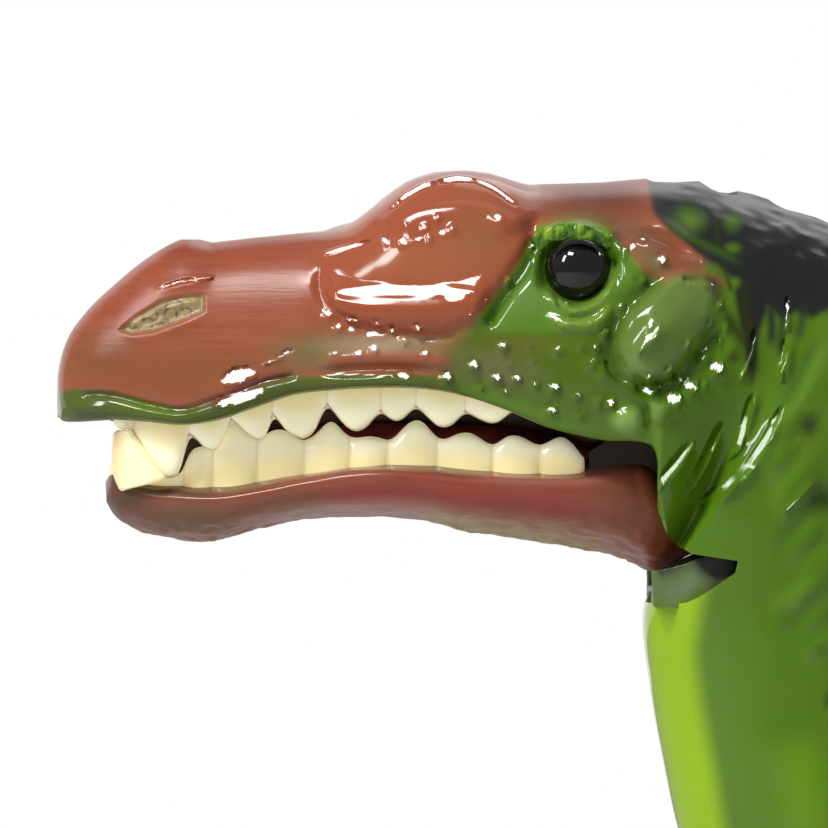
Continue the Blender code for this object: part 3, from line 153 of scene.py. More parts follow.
def spline(turns: np.ndarray, knots: np.ndarray, at: np.ndarray) -> np.ndarray:
    """A smooth curve through knots.

    Args:
        turns: The rising parameter of each knot.
        knots: The knots, one row each.
        at: The parameters to read.

    Returns:
        The curve's values, one row each.
    """
    slopes = np.gradient(knots, turns, axis=0)
    index = np.clip(np.searchsorted(turns, at, side="right") - 1, 0, len(turns) - 2)
    span = (turns[index + 1] - turns[index])[:, None]
    share = (at - turns[index])[:, None] / span
    rest = 1.0 - share
    return ((1 + 2 * share) * rest ** 2 * knots[index] + share * rest ** 2 * span * slopes[index]
            + share ** 2 * (3 - 2 * share) * knots[index + 1]
            - share ** 2 * rest * span * slopes[index + 1])


def chord(points: np.ndarray) -> np.ndarray:
    """The distance travelled along a chain up to each of its points."""
    steps = np.linalg.norm(np.diff(points, axis=0), axis=1)
    return np.concatenate(([0.0], np.cumsum(np.maximum(steps, 1e-9))))


def swept(rows: tuple, count: int) -> np.ndarray:
    """Rows of places and sizes read evenly along a smooth curve.

    Args:
        rows: The knots, each with its place in the first two columns.
        count: How many rows to read.

    Returns:
        The rows, evenly spaced.
    """
    knots = np.array(rows, float)
    turns = chord(knots[:, :2])
    return spline(turns, knots, np.linspace(0, turns[-1], count))


def line_up(xs: tuple, ys: tuple, at: np.ndarray) -> np.ndarray:
    """Values between given ones on straight lines."""
    return np.interp(at, np.array(xs, float), np.array(ys, float))


class Grain:
    """Smooth noise in space that is the same on every run."""

    def __init__(self, seed: int) -> None:
        """Fill the table that the noise is read from."""
        self.table = np.random.default_rng(seed).random(8192) * 2.0 - 1.0

    def values(self, points: np.ndarray) -> np.ndarray:
        """Noise between -1 and 1 that changes over a distance of 1.

        Args:
            points: Places, one row each.

        Returns:
            One value a place.
        """
        base = np.floor(points).astype(np.int64)
        part = points - base
        part = part * part * (3.0 - 2.0 * part)
        total = np.zeros(len(points))
        for corner in range(8):
            step = np.array([corner & 1, corner >> 1 & 1, corner >> 2 & 1])
            cell = base + step
            key = (cell[:, 0] * 73856093 ^ cell[:, 1] * 19349663 ^ cell[:, 2] * 83492791) % len(self.table)
            weight = np.prod(np.where(step, part, 1.0 - part), axis=1)
            total += self.table[key] * weight
        return total

    def cloud(self, points: np.ndarray, size: float, layers: int = 3) -> np.ndarray:
        """Layered noise whose largest lumps are of a given size.

        Args:
            points: Places, one row each.
            size: The size of the largest lumps, in metres.
            layers: How many layers are added up.

        Returns:
            Values about 0, one a point.
        """
        total, weight = np.zeros(len(points)), 1.0
        for layer in range(layers):
            total += weight * self.values(points / (size / 2 ** layer) + 17.3 * layer)
            weight *= 0.5
        return total / 1.6


GRAIN = Grain(11)


# Sculpting marks
@dataclass(frozen=True)
class Shape:
    """Something drawn in pixels that covers part of a surface."""

    def box(self) -> tuple[np.ndarray, np.ndarray]:
        """The lowest and highest pixel that it can reach."""
        raise NotImplementedError

    def cover(self, pixels: np.ndarray) -> np.ndarray:
        """How far each pixel is covered, from 0 to 1."""
        raise NotImplementedError


def path_distance(pixels: np.ndarray, path: np.ndarray) -> tuple[np.ndarray, np.ndarray]:
    """Distance from a path, and how far along it the nearest point lies.

    Args:
        pixels: The places to measure.
        path: The path's corners.

    Returns:
        Distances, and shares of the path's length.
    """
    travelled = chord(path)
    best = np.full(len(pixels), 1e9)
    share = np.zeros(len(pixels))
    for index in range(len(path) - 1):
        run = path[index + 1] - path[index]
        size = max(float(run @ run), 1e-9)
        turn = np.clip(((pixels - path[index]) @ run) / size, 0.0, 1.0)
        gap = np.linalg.norm(pixels - path[index] - turn[:, None] * run, axis=1)
        nearer = gap < best
        best = np.where(nearer, gap, best)
        here = (travelled[index] + turn * math.sqrt(size)) / travelled[-1]
        share = np.where(nearer, here, share)
    return best, share


@dataclass(frozen=True)
class Stroke(Shape):
    """A soft line along a path, thinner towards its ends."""

    path: tuple[Pixel, ...]
    width: float
    fade: float = 0.3

    def box(self) -> tuple[np.ndarray, np.ndarray]:
        """The lowest and highest pixel that it can reach."""
        path = np.array(self.path, float)
        return path.min(0) - self.width * 2.6, path.max(0) + self.width * 2.6

    def cover(self, pixels: np.ndarray) -> np.ndarray:
        """How far each pixel is covered, from 0 to 1.

        Args:
            pixels: Columns and rows, one pair a row.

        Returns:
            The cover, one value a pixel.
        """
        path = np.array(self.path, float)
        if len(path) > 2:
            turns = chord(path)
            path = spline(turns, path, np.linspace(0, turns[-1], len(path) * 3))
        gap, share = path_distance(pixels, path)
        ends = smooth_step(0, self.fade, share) * smooth_step(0, self.fade, 1 - share) if self.fade else 1.0
        return np.exp(-(gap / self.width) ** 2) * ends


@dataclass(frozen=True)
class Mound(Shape):
    """A soft oval."""

    middle: Pixel
    radii: tuple[float, float]
    turn: float = 0.0
    edge: float = 1.0

    def box(self) -> tuple[np.ndarray, np.ndarray]:
        """The lowest and highest pixel that it can reach."""
        reach = max(self.radii)
        return np.array(self.middle) - reach, np.array(self.middle) + reach

    def cover(self, pixels: np.ndarray) -> np.ndarray:
        """How far each pixel is covered, from 0 to 1.

        Args:
            pixels: Columns and rows, one pair a row.

        Returns:
            The cover, one value a pixel.
        """
        angle = math.radians(self.turn)
        across, down = (pixels - np.array(self.middle)).T
        first = (across * math.cos(angle) + down * math.sin(angle)) / self.radii[0]
        second = (down * math.cos(angle) - across * math.sin(angle)) / self.radii[1]
        return 1.0 - smooth_step(1.0 - self.edge, 1.0, np.hypot(first, second))


@dataclass(frozen=True)
class Patch(Shape):
    """An area inside a closed outline, soft at its edge."""

    outline: tuple[Pixel, ...]
    soft: float = 6.0

    def box(self) -> tuple[np.ndarray, np.ndarray]:
        """The lowest and highest pixel that it can reach."""
        outline = np.array(self.outline, float)
        return outline.min(0) - self.soft, outline.max(0) + self.soft

    def cover(self, pixels: np.ndarray) -> np.ndarray:
        """How far each pixel is covered, from 0 to 1.

        Args:
            pixels: Columns and rows, one pair a row.

        Returns:
            The cover, one value a pixel.
        """
        outline = np.array(self.outline + self.outline[:1], float)
        gap, _ = path_distance(pixels, outline)
        inside = np.zeros(len(pixels), bool)
        for start, end in zip(outline, outline[1:]):
            crosses = (start[1] > pixels[:, 1]) != (end[1] > pixels[:, 1])
            rise = end[1] - start[1] if end[1] != start[1] else 1e-9
            reach = start[0] + (pixels[:, 1] - start[1]) / rise * (end[0] - start[0])
            inside ^= crosses & (pixels[:, 0] < reach)
        return smooth_step(-self.soft, self.soft, np.where(inside, gap, -gap))


@dataclass(frozen=True)
class Ledge(Shape):
    """A flat slope that rises down to a line and rounds away below it."""

    path: tuple[Pixel, ...]
    rise: float
    fall: float
    fade: float = 14.0

    def box(self) -> tuple[np.ndarray, np.ndarray]:
        """The lowest and highest pixel that it can reach."""
        path = np.array(self.path, float)
        return path.min(0) - np.array([0, self.rise]), path.max(0) + np.array([0, self.fall])

    def cover(self, pixels: np.ndarray) -> np.ndarray:
        """How far each pixel is covered, from 0 to 1.

        Args:
            pixels: Columns and rows, one pair a row.

        Returns:
            The cover, one value a pixel.
        """
        path = np.array(self.path, float)
        above = np.interp(pixels[:, 0], path[:, 0], path[:, 1]) - pixels[:, 1]
        below = np.clip(1 - (above / self.fall) ** 2, 0, 1) ** 2
        slope = np.where(above > 0, np.clip(1 - above / self.rise, 0, 1), below)
        start = smooth_step(0, self.fade, pixels[:, 0] - path[0, 0])
        return slope * start * smooth_step(0, self.fade, path[-1, 0] - pixels[:, 0])


@dataclass(frozen=True)
class Flat:
    """A small flat along a path, turned so that it shows a lamp as a crisp spot or streak.

    The slope tells how far it comes out, a pixel to the right and a pixel down.
    """

    path: tuple[Pixel, ...]
    width: float
    slope: tuple[float, float] = (0.27, 0.52)
    ragged: float = 0.0
    reach: float = 4.0

    def carve(self, pixels: np.ndarray, depth: np.ndarray) -> np.ndarray:
        """Set the flat into a surface.

        Args:
            pixels: Where each point shows.
            depth: How far out each point lies, in pixels; changed in place.

        Returns:
            How far the flat covers each point, from 0 to 1.
        """
        path = np.array(self.path + ((self.path[0][0] + 0.1, self.path[0][1]),) * (len(self.path) == 1),
                        float)
        cover = np.zeros(len(pixels))
        reach = self.width + self.ragged + 3
        near = np.flatnonzero(((pixels > path.min(0) - reach) & (pixels < path.max(0) + reach)).all(axis=1))
        if not len(near):
            return cover
        gap, share = path_distance(pixels[near], path)
        travelled = chord(path)
        foot = np.stack([np.interp(share * travelled[-1], travelled, path[:, k]) for k in (0, 1)], axis=1)
        stations = np.linspace(0, 1, 9)
        places = np.stack([np.interp(stations * travelled[-1], travelled, path[:, k]) for k in (0, 1)],
                          axis=1)
        nearest = [int(np.argmin(((pixels[near] - place) ** 2).sum(axis=1))) for place in places]
        level = np.interp(share, stations, depth[near][nearest])
        wanted = level.mean() + (foot - foot.mean(0)) @ np.array(self.slope)
        level += np.clip(wanted - level, -self.reach, self.reach)
        plane = level + (pixels[near] - foot) @ np.array(self.slope)
        if self.ragged:
            scattered = np.stack((pixels[near, 0], pixels[near, 1], pixels[near, 0] * 0), axis=1)
            gap = gap + self.ragged * GRAIN.cloud(scattered, 6.0, 2)
        tip = 0.35 + 0.65 * np.sqrt(np.clip(4 * share * (1 - share), 0, 1)) if len(self.path) > 1 else 1.0
        cover[near] = 1 - smooth_step(self.width * tip, self.width * tip + 1.6, gap)
        depth[near] += (plane - depth[near]) * cover[near]
        return cover


def key_flats(spots: tuple, share: float = 0.5) -> list[Flat]:
    """Flats towards the key lamp for round or oval light spots.

    Args:
        spots: Middle, length and height of each, in pixels.
        share: Half their size.

    Returns:
        The flats.
    """
    flats = []
    for u, v, long, tall in spots:
        half = max(long - tall, 0) * share
        rise = max(tall - long, 0) * share
        ends = ((u - half, v + rise), (u + half, v - rise))
        flats.append(Flat(ends if half + rise > 1 else ((u, v),), min(long, tall) * share + 0.7))
    return flats


@dataclass(frozen=True)
class Mark:
    """One touch on the surface: how far it lifts, in pixels, and what it is painted."""

    shape: Shape
    lift: float = 0.0
    paint: Colour | None = None
    cover: float = 1.0
    gloss: float | None = None


def apply_marks(marks: list[Mark], pixels: np.ndarray, wanted: str, values: np.ndarray) -> np.ndarray:
    """Carry out one side of a list of marks.

    Args:
        marks: The marks in order.
        pixels: Where each point shows.
        wanted: lift, paint or gloss.
        values: The values so far, one row a point.

    Returns:
        The values with the marks on them.
    """
    for mark in marks:
        amount = getattr(mark, wanted)
        if amount is None or (wanted == "lift" and not amount):
            continue
        low, high = mark.shape.box()
        near = np.flatnonzero(((pixels > low) & (pixels < high)).all(axis=1))
        if not len(near):
            continue
        cover = mark.shape.cover(pixels[near])
        if wanted == "lift":
            values[near] += cover * amount
        elif wanted == "gloss":
            values[near] += (amount - values[near]) * cover
        else:
            share = (cover * mark.cover)[:, None]
            values[near] += (np.array(linear(amount)) - values[near]) * share
    return values


def linear(colour: Colour) -> Colour:
    """An 8 bit display colour as the linear values that shaders use."""
    parts = [c / 255 for c in colour]
    return tuple((part / 12.92) if part <= 0.04045 else ((part + 0.055) / 1.055) ** 2.4 for part in parts)


def flood(colour: Colour, count: int) -> np.ndarray:
    """One colour for each of a number of points."""
    return np.tile(np.array(linear(colour)), (count, 1))


def tint(colours: np.ndarray, colour: Colour, share: np.ndarray) -> None:
    """Draw colours towards another one.

    Args:
        colours: Linear colours, one row a point, changed in place.
        colour: The other colour, as written in a picture.
        share: How far each point goes, from 0 to 1.
    """
    colours += (np.array(linear(colour)) - colours) * np.reshape(share, (-1, 1))


def gleam(path: tuple[Pixel, ...], width: float, lift: float, fade: float = 0.35) -> Mark:
    """A ridge whose upper side catches the light along the given path."""
    return Mark(Stroke(tuple((u, v + width * 0.7) for u, v in path), width, fade), lift)


# Mesh making
def deselect_all() -> None:
    """Leave nothing selected, so that an operator reaches only what is added next."""
    if bpy.context.object and bpy.context.object.mode != "OBJECT":
        bpy.ops.object.mode_set(mode="OBJECT")
    bpy.ops.object.select_all(action="DESELECT")


def make_active(thing: bpy.types.Object) -> None:
    """Select one object alone.

    Args:
        thing: The object to work on.
    """
    deselect_all()
    thing.select_set(True)
    bpy.context.view_layer.objects.active = thing


def apply_modifier(thing: bpy.types.Object, kind: str, **settings: object) -> None:
    """Add a modifier, set it and apply it.

    Args:
        thing: The object.
        kind: The modifier's type.
        settings: Its properties.
    """
    make_active(thing)
    modifier = thing.modifiers.new(kind.lower(), kind)
    for key, value in settings.items():
        setattr(modifier, key, value)
    bpy.ops.object.modifier_apply(modifier=modifier.name)


def fix_normals(thing: bpy.types.Object, weld: float = 1e-7) -> None:
    """Merge doubles and turn every face outwards.

    Args:
        thing: The object to work on.
        weld: Points nearer than this are merged, in metres.
    """
    make_active(thing)
    bpy.ops.object.mode_set(mode="EDIT")
    bpy.ops.mesh.select_all(action="SELECT")
    bpy.ops.mesh.remove_doubles(threshold=weld)
    bpy.ops.mesh.normals_make_consistent(inside=False)
    bpy.ops.object.mode_set(mode="OBJECT")


def settle(thing: bpy.types.Object) -> None:
    """Put an object's place, turn and size into its mesh."""
    make_active(thing)
    bpy.ops.object.transform_apply(location=True, rotation=True, scale=True)


def join(name: str, things: list[bpy.types.Object]) -> bpy.types.Object:
    """Make one object of several.

    Args:
        name: The object's name.
        things: The objects to join.

    Returns:
        The one object.
    """
    make_active(things[0])
    for thing in things:
        thing.select_set(True)
    bpy.ops.object.join()
    joined = bpy.context.object
    joined.name = joined.data.name = name
    return joined


def mesh_points(thing: bpy.types.Object) -> np.ndarray:
    """The mesh's points, one row each.

    Args:
        thing: The object to work on.

    Returns:
        The points.
    """
    points = np.empty(len(thing.data.vertices) * 3)
    thing.data.vertices.foreach_get("co", points)
    return points.reshape(-1, 3)


def mesh_normals(thing: bpy.types.Object) -> np.ndarray:
    """The mesh's point normals, one row each.

    Args:
        thing: The object to work on.

    Returns:
        The normals.
    """
    normals = np.empty(len(thing.data.vertices) * 3)
    thing.data.vertices.foreach_get("normal", normals)
    return normals.reshape(-1, 3)


def set_points(thing: bpy.types.Object, points: np.ndarray) -> None:
    """Move the mesh's points."""
    thing.data.vertices.foreach_set("co", points.ravel())
    thing.data.update()


def new_mesh(name: str, points: np.ndarray, faces: list) -> bpy.types.Object:
    """An object of given points and faces.

    Args:
        name: The object's name.
        points: Places, one row each.
        faces: The corners of each face, by number.

    Returns:
        The object.
    """
    mesh = bpy.data.meshes.new(name)
    mesh.from_pydata(points.tolist(), [], faces)
    mesh.validate()
    thing = bpy.data.objects.new(name, mesh)
    bpy.context.scene.collection.objects.link(thing)
    return thing


def tube(name: str, grid: np.ndarray) -> bpy.types.Object:
    """A closed skin over rings of points, with its ends drawn together.

    Args:
        name: The object's name.
        grid: Points by ring, by place round the ring, by axis.

    Returns:
        The object.
    """
    rows, columns = grid.shape[:2]
    deselect_all()
    bpy.ops.mesh.primitive_cylinder_add(vertices=columns, radius=1, depth=1, end_fill_type="NOTHING")
    thing = bpy.context.object
    points = grid.reshape(-1, 3)
    index = np.arange(rows * columns).reshape(rows, columns)
    following = np.roll(index, -1, axis=1)
    quads = np.stack((index[:-1], index[1:], following[1:], following[:-1]), axis=2).reshape(-1, 4)
    ends = [index[0].tolist(), index[-1][::-1].tolist()]
    thing.data.clear_geometry()
    thing.data.from_pydata(points.tolist(), [], quads.tolist() + ends)
    thing.name = thing.data.name = name
    fix_normals(thing)
    return thing


def store(thing: bpy.types.Object, name: str, values: np.ndarray) -> None:
    """Keep a colour for each point of a mesh.

    Args:
        thing: The object.
        name: The attribute's name.
        values: Linear colours, one row a point.
    """
    layer = thing.data.color_attributes.new(name, "FLOAT_COLOR", "POINT")
    colours = np.ones((len(values), 4))
    colours[:, :3] = np.clip(values, 0.0, 1.0)
    layer.data.foreach_set("color", colours.ravel())


def even_gloss(thing: bpy.types.Object, share: float) -> None:
    """Give every point of a piece the same gloss."""
    store(thing, "finish", np.tile(np.array([share, 0, 0]), (len(thing.data.vertices), 1)))


def smooth(thing: bpy.types.Object, degrees: float = 40.0) -> None:
    """Shade a mesh smooth, apart from its sharp edges."""
    make_active(thing)
    bpy.ops.object.shade_smooth_by_angle(angle=math.radians(degrees))


def dress(thing: bpy.types.Object, material: bpy.types.Material) -> None:
    """Give an object one material.

    Args:
        thing: The object to work on.
        material: The material.
    """
    if not thing.data.materials:
        thing.data.materials.append(material)
    for slot in thing.material_slots:
        slot.material = material


def hand_over(thing: bpy.types.Object, body: str, slot: str, *nodes: str) -> None:
    """Hang a piece on the body that it moves with, and hide the CAD nodes that it stands for.

    Args:
        thing: The finished piece.
        body: The body that it moves with.
        slot: Not used.
        nodes: The CAD nodes that it replaces.
    """
    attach(thing, body)
    if nodes:
        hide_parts(*nodes)
    LOG.info("%s rides on %s with %d faces", thing.name, body, len(thing.data.polygons))


# Finishes
class Nodes:
    """A short way to lay out a material's nodes."""

    def __init__(self, tree: bpy.types.NodeTree) -> None:
        """Work in one node tree."""
        self.tree = tree

    def add(self, kind: str, **settings: object) -> bpy.types.Node:
        """A node with its properties set.

        Args:
            kind: The node's type.
            settings: Its properties by name.

        Returns:
            The node.
        """
        node = self.tree.nodes.new(kind)
        for key, value in settings.items():
            setattr(node, key, value)
        return node

    def link(self, start: bpy.types.NodeSocket, end: bpy.types.NodeSocket) -> None:
        """Join an output to an input."""
        self.tree.links.new(start, end)

    def math(self, operation: str, first: object, second: object = 0.0) -> bpy.types.NodeSocket:
        """A calculation on sockets or numbers.

        Args:
            operation: The name of the calculation.
            first: The first socket or number.
            second: The second socket or number.

        Returns:
            The result.
        """
        node = self.add("ShaderNodeMath", operation=operation)
        for socket, value in zip(node.inputs, (first, second)):
            if isinstance(value, bpy.types.NodeSocket):
                self.link(value, socket)
            else:
                socket.default_value = value
        return node.outputs[0]

    def ramp(self, value: bpy.types.NodeSocket, low: float, high: float, start: float,
             end: float) -> bpy.types.NodeSocket:
        """A value moved from one range to another and kept inside it.

        Args:
            value: The value that comes in.
            low: The low end of its range.
            high: The high end of its range.
            start: What the low end becomes.
            end: What the high end becomes.

        Returns:
            The moved value.
        """
        node = self.add("ShaderNodeMapRange")
        self.link(value, node.inputs["Value"])
        for socket, number in zip(node.inputs[1:5], (low, high, start, end)):
            socket.default_value = number
        return node.outputs[0]

    def noise(self, vector: bpy.types.NodeSocket, scale: float, detail: float = 3.0,
              roughness: float = 0.5) -> bpy.types.NodeSocket:
        """Noise at a scale, in lumps a metre.

        Args:
            vector: Where the noise is read.
            scale: How many lumps a metre has.
            detail: How many finer layers it has.
            roughness: How strong the finer layers are.

        Returns:
            The noise, from 0 to 1.
        """
        node = self.add("ShaderNodeTexNoise")
        self.link(vector, node.inputs["Vector"])
        node.inputs["Scale"].default_value = scale
        node.inputs["Detail"].default_value = detail
        node.inputs["Roughness"].default_value = roughness
        return node.outputs["Fac"]


def speckle_group() -> bpy.types.NodeTree:
    """The sprayed paint that all the plastic shares: mottled tone, dust and fine surface height.

    Returns:
        The node group, made once.
    """
    name = "sprayed_paint"
    if name in bpy.data.node_groups:
        return bpy.data.node_groups[name]
    group = bpy.data.node_groups.new(name, "ShaderNodeTree")
    face = group.interface
    face.new_socket("Colour", in_out="INPUT", socket_type="NodeSocketColor")
    for label, value in (("Mottle", 0.1), ("Streaks", 0.0), ("Size", 1.0)):
        face.new_socket(label, in_out="INPUT", socket_type="NodeSocketFloat").default_value = value
    face.new_socket("Colour", in_out="OUTPUT", socket_type="NodeSocketColor")
    for label in ("Height", "Wear"):
        face.new_socket(label, in_out="OUTPUT", socket_type="NodeSocketFloat")
    nodes = Nodes(group)
    given = nodes.add("NodeGroupInput")
    result = nodes.add("NodeGroupOutput")
    place = nodes.add("ShaderNodeTexCoord").outputs["Object"]
    scaled = nodes.add("ShaderNodeVectorMath", operation="SCALE")
    nodes.link(place, scaled.inputs[0])
    nodes.link(given.outputs["Size"], scaled.inputs["Scale"])
    place = scaled.outputs[0]
    broad = nodes.noise(place, 140, 4)
    fine = nodes.noise(place, 1500, 3, 0.6)
    stretch = nodes.add("ShaderNodeMapping")
    stretch.inputs["Scale"].default_value = (70, 500, 1900)
    stretch.inputs["Rotation"].default_value = (0, math.radians(-4), 0)
    nodes.link(place, stretch.inputs["Vector"])
    streaks = nodes.noise(stretch.outputs[0], 1, 4, 0.65)
    tone = nodes.math("MULTIPLY", nodes.math("SUBTRACT", nodes.math("ADD", broad, fine), 1.0),
                      given.outputs["Mottle"])
    lines = nodes.math("MULTIPLY", nodes.math("SUBTRACT", streaks, 0.5), given.outputs["Streaks"])
    value = nodes.math("ADD", nodes.math("ADD", tone, lines), 1.0)
    shade = nodes.add("ShaderNodeMix", data_type="RGBA", blend_type="MULTIPLY")
    shade.inputs["Factor"].default_value = 1.0
    nodes.link(given.outputs["Colour"], shade.inputs["A"])
    grey = nodes.add("ShaderNodeCombineColor")
    for socket in grey.inputs[:3]:
        nodes.link(value, socket)
    nodes.link(grey.outputs[0], shade.inputs["B"])
    nodes.link(shade.outputs["Result"], result.inputs["Colour"])
    height = nodes.math("ADD", nodes.math("MULTIPLY", fine, 0.12), nodes.math("MULTIPLY", lines, 2.0))
    nodes.link(height, result.inputs["Height"])
    nodes.link(nodes.ramp(broad, 0.35, 0.75, 0.0, 1.0), result.inputs["Wear"])
    return group


@dataclass(frozen=True)
class Finish:
    """A moulded plastic, painted or plain."""

    name: str
    colour: Colour | None = None
    second: Colour | None = None
    mottle: float = 0.12
    streaks: float = 0.0
    glossy: float = 0.12
    matte: float = 0.4
    metallic: float = 0.0
    coat: float = 0.3
    bump: float = 0.12
    size: float = 1.0
    shine: float = 0.5
    # Emission in the piece's own colour: painted light, since no lamp is in it.
    painted_glow: float = 0.0
    subsurface: float = 0.0

    def material(self) -> bpy.types.Material:
        """The finish as a material, made once.

        Returns:
            The material. Without a colour it takes paint and gloss from the mesh.
        """
        if self.name in bpy.data.materials:
            return bpy.data.materials[self.name]
        material = bpy.data.materials.new(self.name)
        material.use_nodes = True
        nodes = Nodes(material.node_tree)
        shader = material.node_tree.nodes["Principled BSDF"]
        spray = nodes.add("ShaderNodeGroup", node_tree=speckle_group())
        spray.inputs["Mottle"].default_value = self.mottle
        spray.inputs["Streaks"].default_value = self.streaks
        spray.inputs["Size"].default_value = self.size
        if self.colour is None:
            paint = nodes.add("ShaderNodeAttribute", attribute_name="paint")
            nodes.link(paint.outputs["Color"], spray.inputs["Colour"])
            masks = nodes.add("ShaderNodeSeparateColor")
            nodes.link(nodes.add("ShaderNodeAttribute", attribute_name="finish").outputs["Color"],
                       masks.inputs[0])
            gloss = masks.outputs["Red"]
            nodes.link(nodes.math("MULTIPLY", masks.outputs["Green"], self.streaks),
                       spray.inputs["Streaks"])
            rough = nodes.ramp(gloss, 0, 1, self.matte, self.glossy)
        else:
            place = nodes.add("ShaderNodeTexCoord").outputs["Object"]
            mix = nodes.add("ShaderNodeMix", data_type="RGBA")
            nodes.link(nodes.ramp(nodes.noise(place, 220 * self.size, 4), 0.35, 0.65, 0, 1),
                       mix.inputs["Factor"])
            mix.inputs["A"].default_value = (*linear(self.colour), 1)
            mix.inputs["B"].default_value = (*linear(self.second or self.colour), 1)
            nodes.link(mix.outputs["Result"], spray.inputs["Colour"])
            rough = nodes.ramp(spray.outputs["Wear"], 0, 1, self.glossy, self.matte)
        nodes.link(spray.outputs["Colour"], shader.inputs["Base Color"])
        nodes.link(rough, shader.inputs["Roughness"])
        bump = nodes.add("ShaderNodeBump")
        bump.inputs["Strength"].default_value = self.bump
        bump.inputs["Distance"].default_value = 0.0002
        nodes.link(spray.outputs["Height"], bump.inputs["Height"])
        nodes.link(bump.outputs[0], shader.inputs["Normal"])
        shader.inputs["Metallic"].default_value = self.metallic
        shader.inputs["Coat Weight"].default_value = self.coat
        shader.inputs["Coat Roughness"].default_value = 0.04
        shader.inputs["Specular IOR Level"].default_value = self.shine
        # Painted light: the piece glows faintly in its own paint colour.
        if self.painted_glow:
            nodes.link(spray.outputs["Colour"], shader.inputs["Emission Color"])
            shader.inputs["Emission Strength"].default_value = self.painted_glow
        if self.subsurface:
            shader.inputs["Subsurface Weight"].default_value = self.subsurface
            shader.inputs["Subsurface Scale"].default_value = 0.002
        return material


SKIN = Finish("painted_skin", mottle=0.10, streaks=0.7, glossy=0.09, matte=0.42, coat=0.0, shine=0.32)
JAW_SKIN = Finish("painted_jaw", mottle=0.12, streaks=0.2, glossy=0.14, matte=0.42, coat=0.0, shine=0.35)
# The teeth glow faintly: painted light that brightens them in the shade of the lip.
IVORY = Finish("ivory_teeth", mottle=0.05, glossy=0.14, matte=0.3, coat=0.0, bump=0.05, painted_glow=0.2)
FLESH = Finish("mouth_flesh", mottle=0.2, glossy=0.2, matte=0.45, coat=0.0)
EYE = Finish("eye_black", (16, 16, 17), (10, 10, 11), mottle=0.05, glossy=0.03, matte=0.05, bump=0.0,
             coat=0.0)
CLAW = Finish("claw_black", (44, 42, 40), (74, 68, 60), glossy=0.15, matte=0.3, coat=0.5)
STEEL = Finish("zinc_steel", (150, 152, 156), (120, 122, 126), mottle=0.2, glossy=0.25, matte=0.42,
               metallic=1.0, coat=0.0)
NYLON = Finish("natural_nylon", (214, 212, 200), (196, 194, 182), glossy=0.35, matte=0.5, coat=0.0)


def coat(thing: bpy.types.Object, colours: np.ndarray, gloss: float, degrees: float,
         finish: Finish) -> None:
    """Paint a piece with an even gloss, shade it smooth and give it its material.

    Args:
        thing: The piece.
        colours: Linear colours, one row a point.
        gloss: The share of the glossy finish.
        degrees: The angle up to which edges are shaded smooth.
        finish: The material's recipe.
    """
    store(thing, "paint", colours)
    even_gloss(thing, gloss)
    smooth(thing, degrees)
    dress(thing, finish.material())


# The body's skin
@dataclass
class Ladder:
    """Sections of a skin in the side view, smoothed along it and round each section."""

    sections: np.ndarray
    steps: list[float]
    columns: int
    opened: tuple
    closed: tuple

    @staticmethod
    def shape(shares: tuple, columns: int, shut: bool) -> np.ndarray:
        """A smooth half section from its top to its lower edge.

        Args:
            shares: How far down and how far out each of its points lies.
            columns: How many points to give.
            shut: Whether it ends on the middle plane.

        Returns:
            Down and out, one row a point.
        """
        knots = np.array(shares, float)
        flip = np.array([1.0, -1.0])
        padded = [knots[1] * flip, *knots] + ([knots[-2] * flip] if shut else [])
        padded = np.array(padded)
        turns = chord(padded)
        last = turns[len(knots)] if shut else turns[-1]
        fine = spline(turns, padded, np.linspace(turns[1], last, 800))
        fine[0] = knots[0]
        travelled = chord(fine)
        at = np.linspace(0, travelled[-1], columns)
        return np.stack([np.interp(at, travelled, fine[:, axis]) for axis in (0, 1)], axis=1)

    def rows(self) -> np.ndarray:
        """The parameters at which the skin has rows of points.

        Returns:
            Rising parameters.
        """
        tops, lows = self.sections[:, 0:2], self.sections[:, 2:4]
        turns = (chord(tops) + chord(lows)) / 2
        places = []
        for index, step in enumerate(self.steps):
            reach = max(np.linalg.norm(tops[index + 1] - tops[index]),
                        np.linalg.norm(lows[index + 1] - lows[index]))
            count = max(1, round(reach / step))
            places.append(np.linspace(turns[index], turns[index + 1], count, endpoint=False))
        places = np.concatenate(places + [turns[-1:]])
        spare = (len(places) - 1) % 8
        if spare:
            keep = np.linspace(0, len(places) - 1, len(places) - spare)
            places = np.interp(keep, np.arange(len(places)), places)
        return places

    def half(self) -> tuple[np.ndarray, np.ndarray]:
        """The half skin on the +Y side.

        Returns:
            Points by row, column and axis, and the share of the way along of each row.
        """
        turns = (chord(self.sections[:, 0:2]) + chord(self.sections[:, 2:4])) / 2
        at = self.rows()
        values = spline(turns, self.sections, at)
        shut = np.clip(values[:, 5], 0, 1)[:, None]
        opened = self.shape(self.opened, self.columns, False)
        closed = self.shape(self.closed, self.columns, True)
        down = opened[:, 0] * (1 - shut) + closed[:, 0] * shut
        out = opened[:, 1] * (1 - shut) + closed[:, 1] * shut
        width = np.maximum(values[:, 4], 0)[:, None]
        x = values[:, 0:1] + (values[:, 2:3] - values[:, 0:1]) * down
        z = values[:, 1:2] + (values[:, 3:4] - values[:, 1:2]) * down
        return np.stack((x, out * width, z), axis=2), at / turns[-1]


